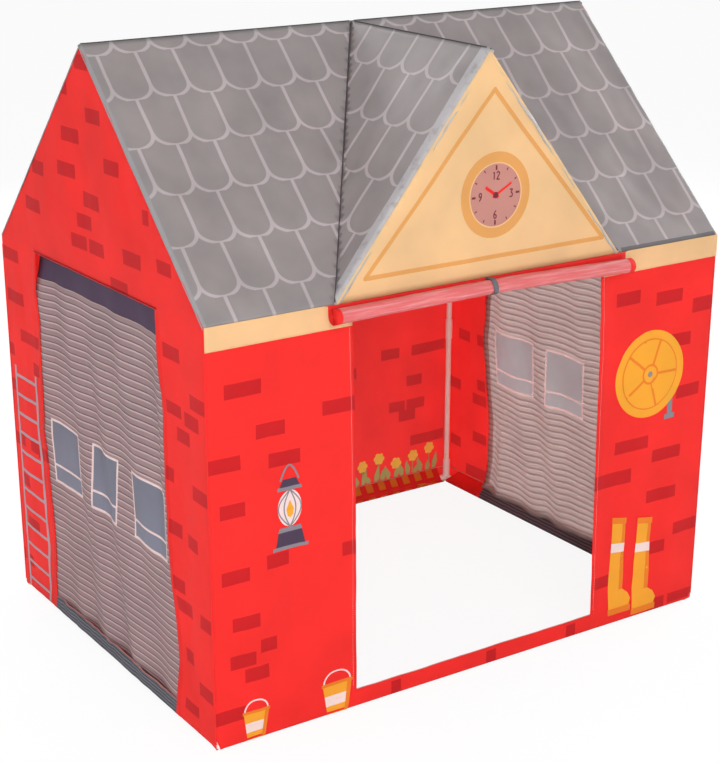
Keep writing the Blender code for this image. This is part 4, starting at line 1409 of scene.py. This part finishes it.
def ladder_shapes(left, right, low, high):
    """A plain ladder: two rails and twelve rungs."""
    bars = [box(x - 0.004, low, x + 0.004, high) for x in (left, right)]
    for i in range(12):
        z = low + 0.018 + (high - low - 0.036) * i / 11
        bars.append(box(left, z - 0.003, right, z + 0.003))
    return [("polyester_ladder_ink", 0, bar) for bar in bars]


class TENT_OT_seams(Operator):
    """Sews the corners, valleys, ridges and hems"""

    bl_idname = "tent.seams"
    bl_label = "Seams and stitches"

    def execute(self, context):
        sizes, _, _ = settings()
        for side in GABLES:
            self.gable(side, sizes.seam)
        for side, sign in SIDES:
            self.front_half(side, sign, sizes.seam)
        top = DORMER_SLOPE_LENGTH - 0.0005
        ends = (0.006, top), (ROOF_HALF + FRONT_TURN * TAKEN_UP - 0.004, top)
        name = "dormer_roof_left_ridge"
        seam(name, dormer_place(-1), *ends, sizes.seam, "polyester_dark_seam")
        for side in OUTWARD:
            far = (HALF_DEPTH if side in GABLES else HALF_LENGTH) - 0.012
            ends = (-far, SLEEVE_SEAM + 0.0008), (far, SLEEVE_SEAM + 0.0008)
            inside = wall_place(side, -0.0022)
            seam(f"{side}_wall_selvedge", inside, *ends, 0.0011, "polyester_selvedge")
        far = HALF_LENGTH - 0.012
        ends = (-far, SLEEVE_SEAM - 0.003), (far, SLEEVE_SEAM - 0.003)
        front = partial(wall_place, "front")
        stitch_line("front_wall_stitches_hem", *ends, front, "thread_red")
        return {"FINISHED"}

    def gable(self, side, thick):
        """A gable wall's corners, the seam over its opening, and its hems' stitches."""
        out = OUTWARD[side]
        for end, sign in (("front", -1), ("back", 1)):
            at = sign * (HALF_DEPTH - 0.0006)
            ends = (at, 0.016), (at, 0.700)
            away = out + Vector((0, sign, 0))
            name, place = f"{side}_wall_corner_{end}", wall_place(side, -0.0002)
            seam(name, place, *ends, thick, "polyester_printed_red", away)
        far = SIDE_HALF + 0.006
        ends = (-far, 0.7145), (far, 0.7145)
        name, place = f"{side}_wall_header", wall_place(side, 0.0004)
        seam(name, place, *ends, thick, "polyester_red_seam", out)
        for end, sign in (("front", -1), ("back", 1)):
            edge = sign * (SIDE_HALF + 0.0065)
            ends = (edge, 0.045), (edge, 0.705)
            name = f"{side}_wall_stitches_{end}"
            stitch_line(name, *ends, partial(wall_place, side), "thread_red")

    def front_half(self, side, sign, thick):
        """Half of the front: its roof panel's seams, and the stitches of its hems."""
        low = EAVE_TURN * TAKEN_UP
        top = SLOPE_LENGTH + low
        roof = roof_place()
        ends = (sign * (DORMER_HALF - 0.003), low + 0.004), (sign * 0.004, top - 0.005)
        seam(f"roof_front_{side}_valley", roof, *ends, thick, "polyester_dark_seam")
        ends = (sign * (HALF_LENGTH - 0.004), top), (sign * 0.004, top)
        seam(f"roof_front_{side}_ridge", roof, *ends, thick * 0.8, "polyester_dark_seam")
        edge = sign * (DOOR_HALF + 0.0065)
        ends = (edge, 0.045), (edge, 0.678)
        front = partial(wall_place, "front")
        stitch_line(f"front_wall_stitches_{side}", *ends, front, "thread_pale")
        low, high = sorted((sign * (DOOR_HALF + 0.004), sign * (HALF_LENGTH - 0.004)))
        fascia = partial(trim_place, FASCIA_SEED)
        for up, what in ((FASCIA_LOW + 0.0035, "low"), (SEAM_HEIGHT - 0.004, "high")):
            name = f"fascia_{side}_stitches_{what}"
            stitch_line(name, (low, up), (high, up), fascia, "thread_cream")
        foot = (sign * (PEDIMENT_HALF - 0.011), SEAM_HEIGHT + 0.005)
        peak = (sign * 0.003, PEDIMENT_PEAK - 0.009)
        pediment = partial(trim_place, PEDIMENT_SEED)
        stitch_line(f"pediment_stitches_{side}", foot, peak, pediment, "thread_cream")


class TENT_OT_frame(Operator):
    """Gives the tubes and the connectors their plastics"""

    bl_idname = "tent.frame"
    bl_label = "Tubes and connectors"

    def execute(self, context):
        _, colours, _ = settings()
        tube = moulded_plastic("polyethylene_extruded_tube", tuple(colours.tube), 0.42, 55)
        socket = moulded_plastic("polypropylene_moulded", tuple(colours.socket), 0.36, 90)
        tubes = ("upright", "rafter", "dormer_rafter")
        for name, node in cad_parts.items():
            connector = name.startswith("connector_")
            if connector or "rail" in name or name.startswith(tubes):
                node.data.materials.clear()
                node.data.materials.append(socket if connector else tube)
        return {"FINISHED"}


class TENT_OT_long_walls(Operator):
    """Hangs the front wall with its doorway and the back wall"""

    bl_idname = "tent.long_walls"
    bl_label = "Front and back wall"

    def execute(self, context):
        for side, marks in (("front", FRONT_MARKS), ("back", BACK_MARKS)):
            made = hang_long_wall(side, marks)
            fit_cloth(made, "tent", f"{side}_wall")
        return {"FINISHED"}


class TENT_OT_gables(Operator):
    """Hangs the two gable walls with their door openings"""

    bl_idname = "tent.gables"
    bl_label = "Gable walls"

    def execute(self, context):
        # The right gable has marks of its own between its opening and its back corner
        shared = tuple(mark for mark in GABLE_MARKS if mark[0] < 0.2 or mark[2] > 0.7)
        for side, marks in (("left", GABLE_MARKS), ("right", RIGHT_MARKS + shared)):
            made = hang_gable(side, spread(marks))
            fit_cloth(made, "tent", f"{side}_wall")
        return {"FINISHED"}


class TENT_OT_roof(Operator):
    """Lays the three main roof panels and the dormer's two"""

    bl_idname = "tent.roof"
    bl_label = "Roof"

    def execute(self, context):
        sizes, _, _ = settings()
        inks = ("polyester_slate_shingles", "polyester_slate_rake", "polyester_slate_eave")
        end = HALF_LENGTH + 0.003
        rake = end - sizes.rake_highlight_band
        low = EAVE_TURN * TAKEN_UP
        rows = grid_lines(0, SLOPE_LENGTH + low, [0.002, 0.004, 0.006, 0.008, sizes.eave_shade_band])
        half = grid_lines(0, end, [rake, *(end - 0.002 * i for i in range(1, 6))])
        valley = Vector((SLOPE_LENGTH, DORMER_HALF)).normalized()

        def paint(across, up):
            # Painted highlight along the roof's ends
            if abs(across) > rake:
                return 1
            # Painted shade along the eave of the right half of the front roof only
            return 2 if up < sizes.eave_shade_band and across > DORMER_HALF else 0

        for side, sign in SIDES:
            lines = sorted([0, *(sign * s for s in half[1:])])
            work = flat_panel(lines, rows, paint)
            trim(work, ((sign * (DORMER_HALF - 0.0006), low), (-sign * valley.x, -valley.y)))
            name, shift = f"roof_front_{side}", SHINGLES_START[side]
            made = put_up(f"{name}_cloth", work, roof_place(), inks, shift)
            thicken(made, sizes.cloth)
            fit_cloth(made, "tent", name)
            self.dormer(side, sign)
        lines = sorted({*(-s for s in half), *half})
        # The back panel's ends get the same painted highlight
        work = flat_panel(lines, rows, lambda across, up: 1 if abs(across) > rake else 0)
        shift = SHINGLES_START["back"]
        made = put_up("roof_back_cloth", work, roof_place(False), inks, shift, True)
        thicken(made, sizes.cloth)
        fit_cloth(made, "tent", "roof_back")
        return {"FINISHED"}

    def dormer(self, side, sign):
        """One slope of the dormer, with the pale binding along its front edge."""
        sizes, _, _ = settings()
        front = FRONT_TURN * TAKEN_UP
        band = sizes.binding + front
        depth = grid_lines(0, ROOF_HALF + front, [*(0.002 * i for i in range(1, 8)), band])
        climb = grid_lines(0, DORMER_SLOPE_LENGTH, ())
        # The band along the front edge is the pale binding, partly painted highlight
        work = flat_panel(depth, climb, lambda across, up: 1 if across < band else 0)
        away = Vector((DORMER_SLOPE_LENGTH, -ROOF_HALF)).normalized()
        trim(work, ((front + 0.0006, 0), away))
        inks = ("polyester_slate_shingles", "polyester_scuffed_binding")
        name, shift = f"dormer_roof_{side}", DORMER_SHINGLES_START[side]
        made = put_up(f"{name}_cloth", work, dormer_place(sign), inks, shift, sign < 0)
        thicken(made, sizes.cloth)
        fit_cloth(made, "tent", name)


class TENT_OT_front_trim(Operator):
    """Hangs the fascia bands and the dormer's pediment"""

    bl_idname = "tent.front_trim"
    bl_label = "Fascia and pediment"

    def execute(self, context):
        sizes, _, _ = settings()
        inks = ("polyester_cream",)
        beside_roll = ROLL_HALF + 0.004

        def paint(across, up):
            return None if up > SEAM_HEIGHT and abs(across) < beside_roll else 0

        levels = (FASCIA_LOW + 0.004, SEAM_HEIGHT)
        rows = grid_lines(FASCIA_LOW, SEAM_HEIGHT + 0.0012, levels, step=0.006)
        for side, sign in SIDES:
            ends = sorted((sign * DOOR_HALF, sign * HALF_LENGTH))
            work = flat_panel(grid_lines(*ends, (sign * beside_roll,)), rows, paint)
            made = put_up(f"fascia_{side}_cloth", work, trim_place(FASCIA_SEED), inks)
            thicken(made, sizes.cloth)
            fit_cloth(made, "tent", f"fascia_{side}")
        base = SEAM_HEIGHT + 0.0007
        lines = grid_lines(-PEDIMENT_HALF, PEDIMENT_HALF, (0,))
        rows = grid_lines(base, PEDIMENT_PEAK, ())
        work = flat_panel(lines, rows, lambda across, up: 0)
        slope = Vector((PEDIMENT_PEAK - base, PEDIMENT_HALF)).normalized()
        for sign in (-1, 1):
            trim(work, ((0, PEDIMENT_PEAK), (sign * slope.x, slope.y)))
        made = put_up("pediment_cloth", work, trim_place(PEDIMENT_SEED), inks)
        thicken(made, sizes.cloth)
        fit_cloth(made, "tent", "pediment")
        return {"FINISHED"}


class TENT_OT_pediment_print(Operator):
    """Prints the border and the clock on the pediment"""

    bl_idname = "tent.pediment_print"
    bl_label = "Pediment print"

    def execute(self, context):
        sizes, _, _ = settings()
        place = partial(trim_place, PEDIMENT_SEED)
        corners = ((0.010, 1.022), (0.252, 0.751), (-0.236, 0.751))
        wide = sizes.border
        border = []
        for a, b in zip(corners, corners[1:] + corners[:1]):
            border.append(("polyester_ochre_ink", 0, stroke([a, b], wide)))
            border.append(("polyester_ochre_ink", 0, disc(a, wide / 2, 12)))
        lay_print("pediment_border", border, place)
        centre, radius = Vector((0.0175, 0.8525)), sizes.clock / 2
        dial = radius * 0.73
        shapes = [
            ("polyester_ochre_ink", 0, disc(centre, radius, 56)),
            ("polyester_cream", 1, disc(centre, dial + 0.0022, 56)),
            ("ink_rose", 2, disc(centre, dial, 56)),
            ("ink_plum", 5, disc(centre, 0.0052, 20)),
        ]
        for i in range(12):
            long, wide = (0.80, 0.0034) if i % 3 == 0 else (0.86, 0.0020)
            mark = spoke(centre, 30 * i, dial * long, dial * 0.95, wide)
            shapes.append(("ink_plum", 3, mark))
        for degrees, long, wide in ((-55, 0.50, 0.0052), (62, 0.70, 0.0038)):
            hand = spoke(centre, degrees, -dial * 0.14, dial * long, wide)
            shapes.append(("polyester_printed_red", 4, hand))
        shapes += [("ink_plum", 3, outline) for outline in clock_numbers(centre, dial * 0.62)]
        lay_print("pediment_clock", shapes, place, step=0.006)
        return {"FINISHED"}


def clock_numbers(centre, reach):
    """Outlines of 12, 3, 6 and 9 in plain strokes, at their places on the dial."""
    strokes = {
        "1": [[(0.3, 0.8), (0.5, 1), (0.5, 0)]],
        "2": [[(0.1, 0.8), (0.3, 1), (0.6, 1), (0.8, 0.75), (0.1, 0), (0.85, 0)]],
        "3": [[(0.1, 1), (0.8, 1), (0.4, 0.58), (0.8, 0.4), (0.75, 0.1), (0.4, 0), (0.1, 0.1)]],
        "6": [[
            (0.7, 1), (0.3, 0.7), (0.15, 0.3), (0.3, 0), (0.65, 0), (0.8, 0.25), (0.6, 0.5),
            (0.2, 0.45),
        ]],
        "9": [[
            (0.3, 0), (0.7, 0.3), (0.85, 0.7), (0.7, 1), (0.35, 1), (0.2, 0.75), (0.4, 0.5),
            (0.8, 0.55),
        ]],
    }
    high, wide = 0.0125, 0.0085
    outlines = []
    for text, turn in (("12", 0), ("3", 90), ("6", 180), ("9", 270)):
        way = Vector((math.sin(math.radians(turn)), math.cos(math.radians(turn))))
        corner = centre + way * reach - Vector((len(text) * wide / 2, high / 2))
        for i, digit in enumerate(text):
            for path in strokes[digit]:
                points = [corner + Vector((x * wide + i * wide, y * high)) for x, y in path]
                outlines += [stroke(list(pair), 0.0021) for pair in zip(points, points[1:])]
    return outlines


class TENT_OT_curtains(Operator):
    """Hangs the side curtains with their printed slats and windows"""

    bl_idname = "tent.curtains"
    bl_label = "Side curtains"

    def execute(self, context):
        sizes, _, _ = settings()
        inks = (
            "polyester_slats", "polyester_door_header", "polyester_window_pane",
            "polyester_window_frame", "polyester_slats_reverse", "polyester_slats_reverse",
            "polyester_pane_reverse", "polyester_window_frame",
        )
        line = 0.0044
        low, high = WINDOW_BOTTOM + line, WINDOW_TOP - line
        bar = WINDOW_BOTTOM + 0.26 * (WINDOW_TOP - WINDOW_BOTTOM)
        levels = (WINDOW_BOTTOM, low, bar, bar + line, high, WINDOW_TOP, HEADER)

        def paint(across, up):
            for a, b in windows:
                if a < across < b and WINDOW_BOTTOM < up < WINDOW_TOP:
                    framed = a + line < across < b - line and low < up < high
                    return 2 if framed and not bar < up < bar + line else 3
            return 1 if up > HEADER else 0

        casing = [CURTAIN_RAIL + CASING_LENGTH * i / 10 for i in range(1, 11)]
        rows = grid_lines(CURTAIN_LOW, CURTAIN_RAIL, levels, step=0.012) + casing
        for side, windows in CURTAIN_WINDOWS.items():
            acrosses = [edge for a, b in windows for edge in (a, a + line, b - line, b)]
            lines = grid_lines(-CURTAIN_HALF, CURTAIN_HALF, acrosses, step=0.006)
            work = flat_panel(lines, rows, paint)
            name = f"{side}_curtain"
            place, turned = curtain_place(side), side in FACED_INWARD
            made = put_up(f"{name}_cloth", work, place, inks, turned=turned)
            thicken(made, sizes.cloth, 4)
            fit_cloth(made, f"{name}_body", name)
        return {"FINISHED"}


class TENT_OT_front_door(Operator):
    """Hangs the rolled front door and its tie"""

    bl_idname = "tent.front_door"
    bl_label = "Rolled front door"

    def execute(self, context):
        sizes, _, _ = settings()
        self.tie()
        inks = ("polyester_coated_lining", *["polyester_printed_red"] * 3)
        hem = ROLL_HALF - 0.011
        near_tie = (TIE_PLACE - 0.012, TIE_PLACE, TIE_PLACE + 0.012)
        lines = grid_lines(-ROLL_HALF, ROLL_HALF, (-hem, hem, *near_tie), step=0.012)
        rows = [FLAP_END.length * i / 4 for i in range(4)]
        at = FLAP_END.length
        steps = 18
        for i in range(ROLL_TURNS * steps + 1):
            rows.append(at)
            radius = ROLL_RADIUS - ROLL_TIGHTENING * 2 * math.pi * i / steps
            at += radius * 2 * math.pi / steps
        work = flat_panel(lines, rows, lambda across, up: 1 if abs(across) > hem else 0)
        made = put_up("door_roll_cloth", work, roll_place, inks)
        thicken(made, sizes.cloth * 0.5, 2)
        fit_cloth(made, "rolled_door", "door_roll")
        return {"FINISHED"}

    def tie(self):
        """The tape loop round the roll, from the seam and back to it."""
        radius = ROLL_RADIUS * 0.95 + 0.0011
        toward = math.atan2(-ROLL_CENTRE.y, -ROLL_CENTRE.x)
        reach = math.acos(radius / ROLL_CENTRE.length)
        first, last = toward + reach, 2 * math.pi + toward - reach
        path = [Vector((-0.0008, -0.0004))]
        count = 26
        for i in range(count + 1):
            turn = first + (last - first) * i / count
            path.append(ROLL_CENTRE + Vector((math.cos(turn), math.sin(turn))) * radius)
        path.append(Vector((0.0003, -0.0008)))

        def place(across, up):
            share = up * (len(path) - 1)
            i = min(int(share), len(path) - 2)
            point = path[i].lerp(path[i + 1], share - i)
            bow = -0.0028 * math.sin(math.pi * min(share / 14, 1))
            foot = Vector((TIE_PLACE + across + bow, ROLL_SHEET - 0.0004, SEAM_HEIGHT))
            return foot + Vector((0, point.x, point.y))

        lines = [TIE_WIDTH * (i / 4 - 0.5) for i in range(5)]
        rows = [i / (3 * len(path)) for i in range(3 * len(path) + 1)]
        work = flat_panel(lines, rows, lambda across, up: 0)
        made = put_up("door_roll_tie", work, place, ("polyester_tie_tape",), turned=True)
        thicken(made, 0.0008)
        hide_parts("tie_strap")
        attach(made, "rolled_door")


class TENT_OT_stage(Operator):
    """Makes the floor, the studio light and the camera"""

    bl_idname = "tent.stage"
    bl_label = "Stage"

    def execute(self, context):
        _, _, stage = settings()
        mesh = bpy.data.meshes.new("floor")
        work = bmesh.new()
        bmesh.ops.create_grid(work, x_segments=1, y_segments=1, size=30)
        work.to_mesh(mesh)
        work.free()
        floor = bpy.data.objects.new("floor", mesh)
        context.scene.collection.objects.link(floor)
        # Just below the hems, so that they don't lie in one plane with it
        floor.location.z = -0.0004
        made, tree = new_material("studio_paper_white")
        seen = add_node(tree, "LightPath")
        paper = add_node(tree, "BsdfDiffuse", {"Color": (*stage.floor, 1)})
        white = add_node(tree, "Emission", {"Color": (1, 1, 1, 1), "Strength": 1.0})
        # The camera sees the paper as nearly white, with a tenth of its own light and shade
        lit = {0: seen.outputs["Is Camera Ray"], 1: 0.90}
        share = add_node(tree, "Math", lit, operation="MULTIPLY")
        mixed = add_node(tree, "MixShader", {0: share, 1: paper, 2: white})
        add_node(tree, "OutputMaterial", {0: mixed})
        mesh.materials.append(made)
        world = bpy.data.worlds.new("studio")
        context.scene.world = world
        world.use_nodes = True
        tree = world.node_tree
        tree.nodes.clear()
        seen = add_node(tree, "LightPath")
        shown = seen.outputs["Is Camera Ray"]
        for ray in ("Is Glossy Ray", "Is Transmission Ray"):
            both = {0: shown, 1: seen.outputs[ray]}
            shown = add_node(tree, "Math", both, operation="MAXIMUM")
        strength = add_node(tree, "MapRange", {"Value": shown, "To Min": stage.fill, "To Max": 1.0})
        sky = add_node(tree, "Background", {"Color": (1, 1, 1, 1), "Strength": strength})
        add_node(tree, "OutputWorld", {0: sky})
        lamps = (
            ("key", (-1.0, -3.4, 2.8), 2.8, stage.key * 62),
            ("low", (-1.9, -3.0, 0.7), 1.8, stage.key * 30),
            ("side", (-3.6, 0.2, 1.8), 2.2, stage.key * 22),
            ("back", (0.4, 3.4, 2.2), 2.6, stage.key * 75),
            ("right", (3.6, 0.2, 1.5), 2.4, stage.key * 75),
        )
        for name, place, size, power in lamps:
            data = bpy.data.lights.new(name, "AREA")
            data.size = size
            data.energy = power
            lamp = bpy.data.objects.new(name, data)
            context.scene.collection.objects.link(lamp)
            lamp.location = place
            aim = Vector((0, 0, 0.5)) - Vector(place)
            lamp.rotation_euler = aim.to_track_quat("-Z", "Y").to_euler()
        data = bpy.data.cameras.new("camera")
        data.sensor_width = 36
        data.lens = stage.lens
        data.shift_x = 0.1511
        data.shift_y = 0.0444
        data.clip_start, data.clip_end = 0.05, 100
        camera = bpy.data.objects.new("camera", data)
        context.scene.collection.objects.link(camera)
        right = Vector((0.86081797, -0.50844665, -0.02178151))
        up = Vector((0.18484897, 0.27250557, 0.94423068))
        back = Vector((-0.47415534, -0.81683702, 0.32856353))
        turn = Matrix((right, up, back)).transposed().to_4x4()
        place = Vector((-1.65196, -2.44281 + MIDDLE_Y, 1.39692))
        camera.matrix_world = Matrix.Translation(place) @ turn
        context.scene.camera = camera
        context.scene.view_settings.view_transform = "Standard"
        return {"FINISHED"}


class TENT_PT_panel(Panel):
    """Lists the tent's pieces and its settings."""

    bl_idname = "TENT_PT_panel"
    bl_label = "Play tent"
    bl_space_type = "VIEW_3D"
    bl_region_type = "UI"
    bl_category = "Play tent"

    def draw(self, context):
        for step in STEPS:
            self.layout.operator(step.bl_idname)
        for group in settings():
            for key in group.__annotations__:
                self.layout.prop(group, key)


GROUPS = (TentSizes, TentColours, StageSettings)
STEPS = (
    TENT_OT_stage,
    TENT_OT_frame,
    TENT_OT_wall_prints,
    TENT_OT_pediment_print,
    TENT_OT_seams,
    TENT_OT_long_walls,
    TENT_OT_gables,
    TENT_OT_roof,
    TENT_OT_front_trim,
    TENT_OT_curtains,
    TENT_OT_front_door,
)


def register():
    for item in (*GROUPS, *STEPS, TENT_PT_panel):
        bpy.utils.register_class(item)
    bpy.types.Scene.tent_sizes = PointerProperty(type=TentSizes)
    bpy.types.Scene.tent_colours = PointerProperty(type=TentColours)
    bpy.types.Scene.tent_stage = PointerProperty(type=StageSettings)


def unregister():
    del bpy.types.Scene.tent_sizes
    del bpy.types.Scene.tent_colours
    del bpy.types.Scene.tent_stage
    for item in (TENT_PT_panel, *reversed(STEPS), *reversed(GROUPS)):
        bpy.utils.unregister_class(item)


def main():
    register()
    for step in STEPS:
        group, name = step.bl_idname.split(".")
        getattr(getattr(bpy.ops, group), name)()


if __name__ == "__main__":
    main()
